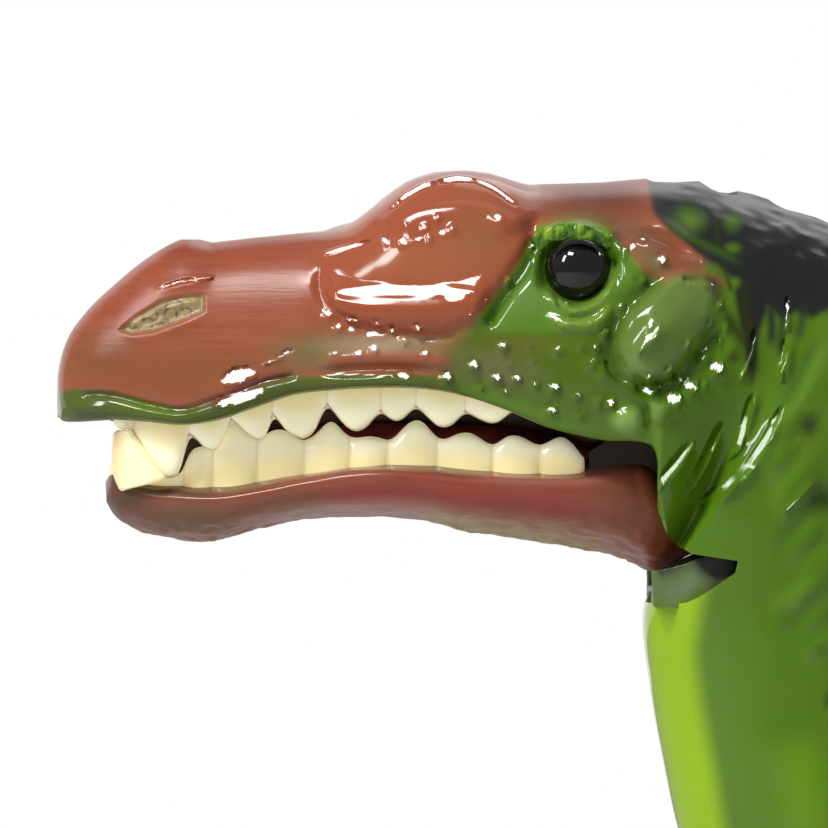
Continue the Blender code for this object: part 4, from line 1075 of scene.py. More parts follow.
def grid_normals(grid: np.ndarray, shut: np.ndarray) -> np.ndarray:
    """Outward normals of a half skin that is mirrored in the middle plane.

    Args:
        grid: Points by row, column and axis.
        shut: How far each row is closed at its lower edge.

    Returns:
        Unit normals in the same layout.
    """
    mirror = np.array([1.0, -1.0, 1.0])
    before = grid[:, 1:2] * mirror
    after = np.where(shut[:, None, None] > 0.5, grid[:, -2:-1] * mirror, 2 * grid[:, -1:] - grid[:, -2:-1])
    padded = np.concatenate((before, grid, after), axis=1)
    round_ = padded[:, 2:] - padded[:, :-2]
    along = np.gradient(grid, axis=0)
    along[:2] = along[2]
    normals = np.cross(round_, along)
    size = np.linalg.norm(normals, axis=2, keepdims=True)
    normals = normals / np.maximum(size, 1e-12)
    middle = grid.mean(axis=1, keepdims=True) * np.array([1.0, 0.0, 1.0])
    inward = ((grid - middle) * normals).sum(axis=2).mean() < 0
    normals = -normals if inward else normals
    normals[:2] = np.array([-1.0, 0.0, 0.12])
    return normals


# Top point and lower point of each head section in pixels, then half its width as a share
HEAD_SECTIONS = (
    ((57, 404), (58, 417), 0.0), ((58, 372), (63, 421), 0.080), ((68, 338), (75, 422), 0.138),
    ((87, 311), (93, 421), 0.178), ((113, 286), (117, 420), 0.212), ((146, 259), (148, 422), 0.242),
    ((182, 239), (183, 425), 0.266), ((214, 242), (215, 421), 0.282), ((255, 237), (252, 409), 0.298),
    ((300, 233), (294, 395), 0.318), ((343, 226), (338, 390), 0.342), ((373, 206), (380, 388), 0.366),
    ((406, 182), (422, 389), 0.392), ((450, 170), (464, 396), 0.418), ((492, 173), (506, 410), 0.442),
    ((538, 185), (550, 428), 0.465), ((590, 183), (602, 440), 0.484), ((645, 180), (652, 447), 0.496),
    ((700, 182), (658, 495), 0.496), ((768, 203), (666, 533), 0.484), ((842, 229), (666, 560), 0.455),
)
# Neck and torso sections in millimetres: top x and z, lower x and z, half width
BODY_SECTIONS = (
    (-125.16, 229.05, -153.70, 191.88, 17.20), (-115.23, 221.78, -153.31, 183.49, 17.00),
    (-109.84, 212.48, -151.80, 174.85, 16.80), (-107.31, 202.05, -149.85, 166.18, 16.70),
    (-105.99, 191.46, -146.60, 157.70, 16.80), (-104.22, 181.63, -142.80, 149.61, 17.00),
    (-100.35, 173.51, -138.23, 142.15, 17.42), (-92.72, 168.02, -133.70, 135.51, 18.52),
    (-82.25, 163.99, -124.22, 123.48, 19.80), (-70.70, 162.52, -110.70, 111.51, 21.51),
    (-58.71, 162.01, -93.70, 103.00, 23.32), (-46.72, 161.50, -74.73, 98.52, 24.30),
    (-34.73, 160.02, -55.66, 98.01, 24.50), (-22.74, 157.98, -37.67, 101.53, 24.30),
    (-10.75, 155.03, -20.67, 106.01, 22.49), (2.33, 150.49, -3.66, 111.00, 18.52),
    (15.23, 145.50, 12.37, 115.50, 14.50),
)
OPENED = ((0, 0), (0.015, 0.30), (0.07, 0.55), (0.18, 0.75), (0.36, 0.90), (0.56, 0.98), (0.74, 1.0),
          (0.89, 0.97), (1, 0.92))
CLOSED = ((0, 0), (0.03, 0.36), (0.11, 0.65), (0.25, 0.88), (0.44, 0.99), (0.62, 1.0), (0.80, 0.90),
          (0.93, 0.62), (1, 0))
SLIT = ((600, 490), (655, 492), (659, 513), (666, 531), (677, 545), (692, 554), (738, 561), (735, 573),
        (722, 582), (709, 591), (698, 598), (687, 603), (674, 605), (648, 604), (600, 604))
HEAD_WIDTH = 0.0385
# The photograph's outline along the top
TOP_LINE = ((150, 256), (165, 247), (180, 239.5), (200, 239.5), (212, 242.5), (252, 238), (302, 233),
            (322, 231), (340, 225), (352, 222), (365, 215), (380, 200), (405, 182), (420, 176),
            (435, 171.8), (465, 170.3), (490, 173), (515, 185), (550, 184), (600, 182.5), (646, 178.5),
            (657, 183.5), (680, 182), (699, 181), (708, 187), (717, 192), (728, 193), (738, 191),
            (752, 194), (768, 199), (775, 204), (785, 209), (800, 213), (815, 217), (850, 232))

# Warts of the cheek: where each one shines, and its radius
CHEEK_WARTS = (
    (503, 345, 9, 9), (529, 345, 8, 5), (558, 349, 13, 9), (473, 364, 11, 10), (508, 363, 10, 5),
    (533, 360, 9, 5), (496, 376, 10, 9), (516, 377, 9, 8), (481, 386, 11, 7), (506, 389, 12, 6),
    (536, 383, 6, 8), (554, 386, 9, 11), (577, 394, 8, 7), (599, 399, 7, 12), (610, 401, 9, 10),
    (551, 409, 11, 9), (581, 414, 12, 7), (446, 376, 11, 9), (593, 361, 15, 10), (604, 331, 8, 14),
    (596, 345, 7, 6), (581, 346, 9, 6), (687, 343, 5, 9), (669, 369, 8, 12), (649, 376, 7, 6),
    (677, 379, 9, 9), (691, 386, 12, 13), (703, 384, 7, 6), (716, 367, 14, 13), (725, 326, 7, 11),
    (720, 339, 4, 9), (674, 399, 14, 14), (709, 323, 9, 5), (719, 303, 6, 6), (641, 280, 9, 14),
    (621, 305, 8, 13), (624, 249, 4, 12), (643, 239, 13, 6), (661, 259, 9, 9), (701, 261, 9, 5),
)
CREST_SPOTS = (
    (384, 240, 8, 7), (403, 241, 17, 7), (418, 240, 9, 4), (424, 227, 7, 6), (429, 237, 6, 9),
    (452, 228, 11, 8), (443, 234, 8, 4), (498, 217, 15, 8), (438, 217, 5, 5), (392, 329, 12, 6),
    (377, 334, 27, 6), (352, 330, 13, 5), (338, 327, 13, 8), (352, 319, 14, 4), (377, 323, 10, 4),
    (404, 340, 12, 8), (417, 327, 14, 6), (374, 348, 9, 8), (425, 353, 7, 7), (334, 353, 10, 4),
    (359, 353, 10, 5), (403, 375, 20, 7), (530, 246, 6, 12), (507, 279, 6, 9), (486, 300, 9, 6),
    (470, 313, 9, 4), (328, 314, 14, 8), (456, 297, 22, 8),
)
STRIP = (0.488, 0.388)
KEY_STREAKS = (
    Flat(((324, 254), (346, 248), (370, 242)), 2.4),
    Flat(((340, 292), (372, 290), (420, 290), (474, 292)), 6.5),
    Flat(((220, 382), (236, 377), (254, 371)), 7.0, ragged=4.0),
    Flat(((392, 208), (404, 197), (421, 187), (440, 181)), 2.6),
    Flat(((438, 181), (457, 178.5), (476, 180)), 2.8),
    Flat(((476, 180), (492, 187), (504, 195), (515, 204)), 2.6),
    Flat(((262, 366), (280, 357), (296, 348)), 2.0, ragged=4.0),
    Flat(((216, 405), (236, 399), (264, 390)), 5.6), Flat(((158, 288), (184, 281), (212, 277)), 1.6),
    Flat(((326, 375), (360, 374.5), (394, 375)), 1.8),
    Flat(((606, 363), (614, 375), (631, 386), (645, 391)), 2.6),
    Flat(((638, 388), (650, 392), (661, 383)), 4.0), Flat(((639, 353), (648, 338), (659, 326)), 3.2),
    Flat(((709, 343), (700, 354), (689, 370)), 2.8), Flat(((684, 279), (700, 282), (714, 290)), 2.0),
    Flat(((787, 298), (787, 329)), 2.2), Flat(((784, 340), (781, 380)), 2.0),
    Flat(((803, 650), (816, 645), (828, 642)), 2.6), Flat(((558, 300), (562, 304), (568, 304)), 3.0),
    Flat(((548, 316), (560, 323), (572, 325)), 2.6), Flat(((592, 322), (588, 324)), 2.0),
)
STRIP_STREAKS = (
    Flat(((656, 490), (672, 468), (692, 443)), 4.8, STRIP),
    Flat(((687, 493), (704, 462), (720, 426)), 4.5, STRIP),
    Flat(((730, 457), (738, 448), (745, 422), (751, 397)), 3.4, STRIP),
    Flat(((699, 504), (723, 489), (751, 463), (768, 436), (779, 411)), 4.2, STRIP),
    Flat(((771, 514), (794, 499), (818, 481)), 3.4, STRIP),
    Flat(((780, 551), (800, 538), (818, 526)), 3.1, STRIP),
    Flat(((789, 443), (804, 424), (818, 402)), 2.8, STRIP),
    Flat(((798, 624), (812, 616), (829, 607)), 3.6, STRIP),
    Flat(((800, 590), (814, 578), (828, 563)), 3.6, STRIP),
    Flat(((741, 378), (752, 352), (754, 330)), 2.2, STRIP),
    Flat(((604, 288), (610, 276), (611, 264)), 3.1, STRIP),
)
GREEN, DARK_GREEN, PALE_GREEN = (82, 119, 12), (56, 79, 11), (116, 149, 68)
LIME, BLACK_GREEN, OLIVE = (143, 181, 0), (30, 33, 31), (122, 110, 62)


def head_marks() -> list[Mark]:
    """Everything that is sculpted and painted on the head and neck, in order.

    Returns:
        The marks, in pixels of the photograph.
    """
    crest = ((322, 250), (318, 280), (332, 306), (352, 322), (395, 333), (440, 335), (470, 326), (500, 288),
             (528, 246), (538, 215), (520, 180), (490, 160), (450, 158), (400, 168), (376, 200), (350, 228))
    brown = ((20, 200), (150, 120), (640, 140), (648, 182), (652, 210), (672, 230), (690, 246), (708, 266),
             (728, 286), (706, 274), (684, 274), (665, 284), (648, 278), (632, 256), (619, 236), (604, 227),
             (560, 222), (538, 230), (528, 246), (506, 284), (474, 324), (462, 345), (440, 380), (330, 384),
             (290, 372), (258, 382), (240, 392), (215, 401), (182, 408), (150, 403), (110, 391), (78, 388),
             (40, 392))
    lip = ((50, 396), (78, 390), (110, 393), (150, 405), (182, 411), (215, 404), (240, 395), (262, 385),
           (300, 378), (340, 375), (400, 373), (450, 378), (470, 384), (470, 430), (40, 440))
    nape = ((642, 160), (650, 186), (655, 214), (672, 232), (690, 245), (712, 262), (734, 280), (736, 300),
            (742, 330), (752, 384), (760, 330), (768, 306), (782, 320), (796, 312), (812, 318), (850, 300),
            (900, 310), (960, 260), (860, 190), (740, 150))
    neck_green = ((655, 446), (700, 400), (760, 380), (900, 330), (1000, 700), (960, 850), (640, 850),
                  (640, 600))
    marks = [
        # Large colour fields
        Mark(Patch(((440, 330), (640, 270), (720, 270), (900, 250), (980, 900), (600, 900), (640, 600),
                    (600, 470), (440, 410)), 10), 0, GREEN),
        Mark(Patch(neck_green, 30), 0, (80, 117, 19)),
        Mark(Patch(((-100, 100), (470, 100), (470, 440), (-100, 440)), 10), 0, (96, 96, 54)),
        Mark(Patch(((560, 100), (720, 100), (720, 300), (640, 260), (560, 240)), 8), 0, (84, 58, 44)),
        Mark(Patch(brown, 3.5), 0, (152, 82, 56)),
        Mark(Mound((200, 262), (190, 46)), 0, (146, 68, 42), 0.8),
        Mark(Mound((118, 312), (70, 60)), 0, (144, 66, 42), 0.7),
        Mark(Mound((96, 356), (80, 46)), 0, (128, 76, 48), 0.9),
        Mark(Mound((190, 372), (130, 44)), 0, (140, 84, 54), 0.9),
        Mark(Mound((318, 352), (80, 34)), 0, (122, 108, 68), 0.95),
        # Painted highlight: a pale soft sheen under the crest.
        Mark(Mound((386, 346), (92, 20)), 0, (168, 150, 124), 0.9),
        Mark(Mound((440, 355), (60, 34)), 0, OLIVE, 0.7),
        Mark(Patch(crest, 7), 0, (154, 78, 50)),
        Mark(Mound((430, 262), (110, 50)), 0, (154, 90, 58), 0.9),
        Mark(Mound((480, 235), (50, 60)), 0, (142, 90, 58), 0.7),
        # Painted shade: darker brown along the top edges of the brow, snout and crest.
        Mark(Mound((600, 196), (120, 40)), 0, (96, 44, 28), 0.95),
        Mark(Stroke(((150, 252), (200, 244), (300, 238), (350, 228)), 10, 0.1), 0, (128, 54, 32), 0.7),
        Mark(Stroke(((400, 184), (450, 170), (500, 180)), 9, 0.1), 0, (138, 58, 36), 0.8),
        Mark(Stroke(((540, 214), (600, 222), (640, 236), (690, 262)), 14), 0, (104, 70, 46), 0.8),
        Mark(Mound((652, 262), (38, 20), 28), 0, (124, 106, 70), 0.95),
        Mark(Mound((696, 264), (26, 14), 20), 0, (126, 84, 62), 0.9),
        # Nape
        Mark(Patch(nape, 4), 0, BLACK_GREEN),
        Mark(Mound((690, 220), (27, 20), 12), 0, (72, 107, 11), 0.95),
        Mark(Mound((732, 222), (15, 17)), 0, (68, 101, 11), 0.9),
        Mark(Mound((733, 248), (13, 9)), 0, (82, 121, 12), 0.9),
        Mark(Mound((712, 270), (16, 11), 20), 0, (90, 129, 27), 0.95),
        Mark(Mound((736, 283), (9, 9)), 0, (94, 137, 11), 0.9),
        Mark(Stroke(((655, 216), (690, 238), (716, 250), (748, 268)), 4), 0, (58, 87, 11), 0.8),
        Mark(Stroke(((746, 268), (744, 300), (750, 340), (754, 384)), 7, 0.2), 0, (38, 45, 11), 0.95),
        Mark(Stroke(((720, 306), (736, 330), (748, 352)), 6), 0, (46, 55, 11), 0.9),
        Mark(Stroke(((728, 352), (740, 362)), 8), 0, (50, 63, 11), 0.8),
        Mark(Stroke(((716, 198), (717, 250)), 3, 0.1), 0, (42, 53, 11), 0.8),
        Mark(Stroke(((722, 262), (732, 292)), 2.5, 0.1), 0, (46, 57, 11), 0.8),
        # Lip, cheek
        Mark(Patch(lip, 3), 0, (80, 94, 34)),
        Mark(Stroke(((110, 396), (150, 408), (185, 414)), 6), 0, (94, 123, 31), 0.7),
        Mark(Stroke(((60, 414), (90, 416), (120, 417)), 8), 0, (74, 74, 46), 0.7),
        Mark(Patch(((455, 340), (474, 326), (610, 332), (640, 380), (600, 436), (500, 404), (440, 388)),
                   16),
             0, (78, 101, 18), 0.9),
        Mark(Mound((520, 342), (74, 18), 4), 0, (108, 98, 44), 0.5),
        Mark(Mound((500, 368), (70, 30), 8), 0, (104, 100, 60), 0.8),
        Mark(Stroke(((440, 386), (500, 402), (560, 424), (620, 438)), 9), 0, (86, 125, 23), 0.8),
        Mark(Stroke(((315, 364), (350, 360), (400, 359), (440, 362), (458, 367)), 7, 0.15), 5,
             (150, 82, 58)),
        Mark(Stroke(((205, 406), (230, 396), (258, 383), (290, 374)), 3.2, 0.1), 0, (112, 62, 48), 0.9),
        # Eye patch
        Mark(Patch(((476, 322), (504, 290), (530, 246), (538, 226), (604, 228), (630, 254), (650, 284),
                    (640, 320), (600, 332), (500, 332)), 4), 0, (86, 125, 36)),
        Mark(Mound((524, 296), (46, 34), -30), 0, (102, 137, 63), 0.8),
        # Painted shade: darker green laid in the grooves along the eye patch.
        Mark(Stroke(((534, 234), (530, 262), (506, 296), (484, 330)), 6, 0.1), -7, (60, 95, 11), 0.9),
        Mark(Stroke(((545, 240), (548, 280), (560, 304)), 5), -2, (64, 99, 11), 0.7),
        # Ear
        # Painted shade: darker green laid in the groove round the ear.
        Mark(Stroke(((668, 268), (640, 292), (618, 324), (610, 352), (622, 380), (648, 392), (674, 382),
                     (704, 350), (724, 316)), 12, 0.1), -7, (60, 91, 11), 0.9),
        Mark(Patch(((618, 346), (626, 322), (644, 300), (664, 284), (684, 274), (704, 278), (716, 292),
                    (712, 320), (694, 346), (672, 374), (650, 382), (632, 372)), 9), 7, (100, 123, 53)),
        Mark(Mound((668, 326), (34, 60), 38, 1.0), 7),
        gleam(((630, 360), (646, 336), (668, 314)), 8, 4, 0.4),
        Mark(Mound((640, 352), (24, 44), 28), 0, (112, 137, 68), 0.6),
        Mark(Stroke(((634, 378), (668, 382), (700, 356)), 5), 0, (70, 95, 11), 0.7),
        # Jaw corner
        Mark(Mound((628, 421), (22, 19), 0, 0.8), 9, (138, 173, 90), 0.8),
        Mark(Mound((658, 412), (16, 15), 0, 0.8), 7, (122, 157, 71), 0.8),
        Mark(Stroke(((645, 400), (648, 420), (644, 432)), 4), -4, (76, 107, 18), 0.8),
        # Neck colours
        Mark(Stroke(((770, 420), (740, 470), (700, 520)), 20), 0, (70, 107, 11), 0.7),
        Mark(Stroke(((800, 380), (770, 440), (730, 500)), 9), 0, (102, 143, 38), 0.6),
        Mark(Stroke(((834, 400), (800, 450), (764, 520)), 9), 0, (110, 148, 40), 0.5),
        Mark(Stroke(((838, 470), (806, 510), (770, 548)), 8), 0, (62, 92, 30), 0.7),
        Mark(Stroke(((834, 330), (812, 370), (790, 430)), 8), 0, (104, 142, 44), 0.5),
        Mark(Stroke(((822, 330), (800, 370), (776, 420)), 7), 0, (60, 90, 32), 0.6),
        Mark(Stroke(((838, 560), (800, 590), (760, 612)), 9), 0, (108, 146, 40), 0.4),
        Mark(Stroke(((838, 590), (806, 606), (770, 636)), 8), 0, (66, 98, 34), 0.6),
        Mark(Stroke(((768, 296), (772, 330), (770, 352)), 5), 0, (34, 40, 32), 0.9),
        Mark(Stroke(((786, 300), (782, 330), (776, 362)), 4), 0, (40, 50, 34), 0.8),
        Mark(Stroke(((806, 300), (800, 330), (796, 346)), 6), 0, (40, 50, 34), 0.7),
        Mark(Mound((810, 426), (20, 22)), -3, (44, 53, 11), 0.9),
        Mark(Mound((824, 500), (26, 24)), -3, (42, 53, 11), 0.95),
        Mark(Mound((828, 700), (9, 9)), 0, (38, 47, 11), 0.9),
        Mark(Stroke(((752, 610), (742, 700), (760, 800), (770, 900)), 26), 0, (86, 127, 12), 0.5),
        Mark(Stroke(((790, 720), (804, 800), (812, 860)), 26), 0, (106, 149, 11), 0.6),
        Mark(Stroke(((720, 640), (736, 740), (752, 860)), 14), 0, (82, 119, 18), 0.6),
        Mark(Patch(((600, 596), (666, 592), (712, 570), (702, 600), (694, 650), (700, 700), (712, 760),
                    (728, 850), (738, 960), (600, 960)), 13), 0, LIME),
        Mark(Stroke(((652, 604), (660, 700), (676, 800), (700, 900)), 8, 0.02), 0, (148, 181, 18), 0.6),
        # Large forms
        Mark(Patch(crest, 12), 4),
        Mark(Ledge(((318, 288), (336, 300), (366, 306), (420, 308), (456, 306), (478, 300), (492, 290)), 25,
                   27,
                   18), 8),
        Mark(Stroke(((322, 262), (319, 286), (331, 309), (352, 323), (377, 330), (404, 334), (440, 337),
                     (466, 331)), 5, 0.12), -5),
        Mark(Stroke(((534, 208), (530, 244), (508, 282), (480, 320)), 8, 0.2), -5),
        Mark(Stroke(((384, 226), (404, 208), (430, 199), (462, 196), (492, 202), (512, 215), (524, 234)),
                    24,
                    0.12), 9),
        Mark(Mound((236, 392), (74, 30), -10), 5),
        Mark(Stroke(((62, 410), (110, 410), (150, 416), (185, 418), (215, 411), (250, 399), (290, 387),
                     (340, 384), (400, 383), (460, 390)), 9, 0.04), 6),
        Mark(Stroke(((80, 394), (110, 395), (150, 405), (182, 410), (215, 400), (240, 392), (262, 383),
                     (300, 374)), 3.6, 0.05), -4.5),
        Mark(Stroke(((300, 372), (350, 370), (400, 368), (450, 374)), 5), -3),
        Mark(Stroke(((316, 384), (380, 380), (450, 386)), 9), 5),
        # Nostril
        Mark(Patch(((120, 330), (134, 318), (160, 302), (185, 296), (204, 295), (204, 311), (182, 321),
                    (152, 331), (132, 334)), 2.5), -4, (150, 128, 84)),
        Mark(Stroke(((118, 336), (150, 337), (182, 326), (212, 313)), 5), 1.5, (158, 80, 52), 0.7),
        Mark(Stroke(((150, 294), (168, 286), (190, 282), (212, 281)), 7, 0.4), 2),
        Mark(Stroke(((128, 326), (160, 310), (184, 303), (202, 301)), 3, 0.1), 2, (170, 146, 98), 0.9),
        # Lower lids, brow and folds round the eye
        Mark(Mound((577, 270), (47, 45), 0, 0.34), -15, (68, 103, 12), 0.8),
        Mark(Stroke(((611, 262), (608, 288), (592, 305), (572, 310), (554, 300), (544, 282)), 5.5, 0.15),
             11, (110, 143, 58), 0.8),
        Mark(Stroke(((618, 300), (596, 322), (566, 324), (542, 312)), 6, 0.25), 8, (116, 143, 41), 0.8),
        Mark(Stroke(((600, 344), (620, 330), (634, 300), (630, 262)), 9), 4),
        Mark(Stroke(((538, 240), (560, 232), (590, 232), (612, 244)), 11, 0.1), 9, (96, 143, 11), 0.9),
        # Temple ridge
        Mark(Stroke(((622, 246), (648, 246), (676, 256), (708, 272), (732, 294)), 10), 8),
        Mark(Stroke(((640, 214), (664, 224), (700, 250), (730, 272)), 8), 6),
        Mark(Stroke(((634, 232), (664, 238), (700, 262)), 5), -4),
        # Rim below the ear
        Mark(Stroke(((596, 366), (618, 380), (640, 398), (662, 394)), 8, 0.15), 7),
        gleam(((700, 398), (664, 404), (640, 396), (606, 366)), 5, 4),
    ]
    for u, v, long, tall in CHEEK_WARTS:
        marks.append(Mark(Mound((u, v + tall * 0.35), (long * 0.95, tall * 0.95), 0, 0.8), tall * 0.26))
    return marks + crest_lumps() + neck_folds()


def crest_lumps() -> list[Mark]:
    """The strings of small shiny lumps on and under the crest.

    Returns:
        The marks.
    """
    lumps = []
    for u, v, long, tall in CREST_SPOTS:
        lumps.append(Mark(Mound((u, v + tall * 0.35), (long * 0.8, tall * 1.1), -8, 0.8), tall * 0.24))
    return lumps


def neck_folds() -> list[Mark]:
    """The slanting folds of the neck, each with its shining edge.

    Returns:
        The marks.
    """
    lines = (
        (((694, 442), (676, 468), (658, 490)), 6, 6), (((720, 425), (704, 458), (688, 492)), 6, 6),
        (((742, 440), (732, 456)), 5, 4), (((765, 438), (748, 465), (721, 491), (698, 505)), 7, 7),
        (((814, 484), (796, 497), (771, 515)), 6, 6), (((824, 518), (800, 538), (777, 554)), 6, 5),
        (((828, 568), (806, 588), (785, 601)), 6, 5), (((828, 607), (812, 616), (798, 624)), 6, 5),
        (((828, 642), (816, 644), (803, 650)), 6, 6), (((788, 330), (786, 352), (782, 384)), 6, 6),
        (((778, 409), (766, 436), (752, 460)), 6, 6), (((757, 384), (750, 412), (740, 446)), 5, 6),
        (((710, 342), (702, 356), (690, 370)), 6, 5), (((658, 319), (648, 340), (634, 360)), 7, 4),
        (((800, 420), (780, 450), (760, 480)), 10, 5), (((820, 440), (800, 470), (770, 498)), 10, 4),
        (((850, 540), (820, 560), (790, 575)), 10, 5), (((880, 600), (850, 625), (810, 640)), 10, 5),
        (((900, 680), (860, 700), (820, 705)), 12, 5), (((900, 760), (850, 770), (810, 765)), 12, 4),
    )
    marks = []
    for path, width, lift in lines:
        slant = tuple((u + width * 0.35, v + width * 0.5) for u, v in path)
        marks.append(Mark(Stroke(slant, width, 0.4), lift))
        marks.append(Mark(Stroke(slant, width * 1.8, 0.4), 0, (70, 107, 11), 0.35))
    return marks


@dataclass
class BodySkin:
    """The two moulded halves of head, neck and torso."""

    columns: int = 161
    head_step: float = 0.000235
    neck_step: float = 0.0008
    torso_step: float = 0.0024
    head_rungs: int = 21
    bore_radius: float = 0.0027
    wells: tuple = ((-0.18839, 0.22465), (-0.14880, 0.22520), (-0.12770, 0.18332), (-0.12334, 0.13980),
                    (-0.07484, 0.11164), (-0.06176, 0.15004), (-0.00453, 0.13084))
    marks: list[Mark] = field(default_factory=head_marks)

    def sections(self) -> np.ndarray:
        """All sections from the snout to the tail joint, in metres.

        Returns:
            One section a row.
        """
        rows = []
        for top, low, share in HEAD_SECTIONS:
            rows.append((*PHOTO.flat(top), *PHOTO.flat(low), share * HEAD_WIDTH, 0.0))
        for row, shut in ((-4, 0.0), (-3, 0.04), (-2, 0.15), (-1, 0.42)):
            rows[row] = rows[row][:5] + (shut,)
        for values in BODY_SECTIONS:
            rows.append(tuple(v * MM for v in values) + (1.0,))
        return np.array(rows)

    def grid(self) -> tuple[np.ndarray, np.ndarray]:
        """The sculpted half skin and its smooth base, on the +Y side.

        Returns:
            Points by row, column and axis.
        """
        sections = self.sections()
        count = len(sections) - 1
        steps = [self.head_step] * self.head_rungs + [self.neck_step] * 4 + [self.torso_step] * count
        ladder = Ladder(sections, steps[:count], self.columns, OPENED, CLOSED)
        base, _ = ladder.half()
        turns = (chord(sections[:, 0:2]) + chord(sections[:, 2:4])) / 2
        shut = np.clip(spline(turns, sections, ladder.rows())[:, 5], 0, 1)[:, None]
        base = draw_in(self.follow_top(base))
        normals = grid_normals(base, shut[:, 0])
        flat = base.reshape(-1, 3)
        share = np.linspace(0, 1, self.columns)[None, :]
        seams = smooth_step(0, 0.05, share) * (1 - shut * (1 - smooth_step(0, 0.05, 1 - share)))
        outer = base + normals * (self.knobs(flat).reshape(base.shape[:2]) * seams)[:, :, None]
        outer[:, :, 1] += self.lift(flat).reshape(base.shape[:2]) * seams - self.roll(base, shut[:, 0])
        depth = outer[:, :, 1].reshape(-1) / PHOTO.pixel
        for flat in KEY_STREAKS + STRIP_STREAKS + tuple(key_flats(CHEEK_WARTS) + key_flats(CREST_SPOTS)):
            flat.carve(PHOTO.pixels(outer.reshape(-1, 3)), depth)
        outer[:, :, 1] = depth.reshape(outer.shape[:2]) * PHOTO.pixel
        outer[:, 0, 1] = 0.0
        return outer, base - normals * WALL

    def follow_top(self, base: np.ndarray) -> np.ndarray:
        """Bring the top edge on to the photograph's outline.

        Args:
            base: The smooth half skin.

        Returns:
            The same skin with its first columns moved up or down.
        """
        pixels = PHOTO.pixels(base[:, 0])
        wanted = line_up(*zip(*TOP_LINE), pixels[:, 0])
        inside = smooth_step(150, 165, pixels[:, 0]) * (1 - smooth_step(815, 850, pixels[:, 0]))
        rise = np.where(base[:, 0, 2] > 0.2, (pixels[:, 1] - wanted) * inside * PHOTO.pixel, 0)
        share = np.linspace(0, 1, self.columns)
        moved = base.copy()
        moved[:, :, 2] += rise[:, None] * (1 - smooth_step(0, 0.16, share))[None, :]
        return moved

    def lift(self, points: np.ndarray) -> np.ndarray:
        """How far each point is pushed out sideways, in metres.

        Args:
            points: Places, one row each.

        Returns:
            The push of each point.
        """
        pixels = PHOTO.pixels(points)
        lift = apply_marks(self.marks, pixels, "lift", np.zeros(len(points)))
        rough = Mound((572, 233), (46, 16)).cover(pixels)
        lift += rough * 8.0 * np.abs(GRAIN.cloud(points, 0.0011, 2))
        wrinkle = Mound((166, 314), (44, 16), -18).cover(pixels)
        lift += wrinkle * 5.0 * (np.abs(GRAIN.cloud(points, 0.0010, 2)) - 0.25)
        cheek = smooth_step(440, 520, pixels[:, 0]) * smooth_step(225, 300, pixels[:, 1])
        lift += cheek * 1.0 * GRAIN.cloud(points, 0.004, 2)
        body = smooth_step(-0.118, -0.108, points[:, 0]) + smooth_step(0.166, 0.158, points[:, 2])
        slanted = points @ np.array([[0.8, 0, -0.6], [0, 0.25, 0], [0.2, 0, 0.27]]).T
        folds = 1 - np.abs(GRAIN.cloud(slanted, 0.006, 2)) * 2.0
        lift += np.clip(body, 0, 1) * 5.0 * folds
        return lift * PHOTO.pixel

    def knobs(self, points: np.ndarray) -> np.ndarray:
        """How far the rough back stands out, in metres.

        Args:
            points: Places, one row each.

        Returns:
            The height at each point.
        """
        pixels = PHOTO.pixels(points)
        top = line_up((-0.16, -0.125, -0.105, -0.100, -0.075, 0.0),
                      (0.236, 0.229, 0.20, 0.173, 0.163, 0.152),
                      points[:, 0])
        near = 1 - smooth_step(0.002, 0.008, top - points[:, 2])
        near *= smooth_step(650, 700, pixels[:, 0])
        lumps = GRAIN.cloud(points, 0.0032, 2) - 0.3
        return near * lumps * 4.0 * PHOTO.pixel

    def roll(self, base: np.ndarray, shut: np.ndarray) -> np.ndarray:
        """How far the lip's edge is rounded in, by row and column.

        Args:
            base: The smooth half skin.
            shut: How far each row is closed, from 0 to 1.

        Returns:
            The distance at each point.
        """
        edge = base[:, -1:, :]
        gap = np.linalg.norm(base - edge, axis=2) / PHOTO.pixel
        share = np.clip(1 - gap / 7.0, 0, 1)
        return (1 - np.sqrt(1 - share ** 2)) * 6.0 * PHOTO.pixel * (1 - shut)[:, None]

    def half(self, side: Side, outer: np.ndarray, inner: np.ndarray) -> bpy.types.Object:
        """One half as a closed mesh.

        Args:
            side: Which half.
            outer: The sculpted skin.
            inner: The smooth wall behind it.

        Returns:
            The object.
        """
        rows, columns = outer.shape[:2]
        coarse = inner[::8, ::8]
        points = np.concatenate((outer.reshape(-1, 3), coarse.reshape(-1, 3)))
        points[:, 1] = side.value * (np.maximum(points[:, 1], 0) + HALF_SEAM)
        index = np.arange(rows * columns).reshape(rows, columns)
        back = rows * columns + np.arange(coarse.shape[0] * coarse.shape[1]).reshape(coarse.shape[:2])
        faces = []
        for sheet in (index, back):
            faces += np.stack((sheet[:-1, :-1], sheet[1:, :-1], sheet[1:, 1:], sheet[:-1, 1:]),
                              axis=2).reshape(-1, 4).tolist()
        for near, far in ((index[:, 0], back[:, 0]), (index[:, -1], back[:, -1]),
                          (index[0], back[0]), (index[-1], back[-1])):
            faces += self.rim(near.tolist(), far.tolist())
        thing = new_mesh("body_skin_" + side.label, points, faces)
        fix_normals(thing, 1e-8)
        return thing

    @staticmethod
    def rim(near: list[int], far: list[int]) -> list:
        """Triangles from a fine edge to one with an eighth of its points.

        Args:
            near: The points of the fine edge, by number.
            far: The points of the coarse edge, by number.

        Returns:
            The triangles.
        """
        faces = []
        for number in range(len(far) - 1):
            start, end = far[number], far[number + 1]
            chain = near[number * 8:number * 8 + 9]
            faces += [(chain[k], chain[k + 1], start) for k in range(4)]
            faces.append((chain[4], end, start))
            faces += [(chain[k], chain[k + 1], end) for k in range(4, 8)]
        return faces

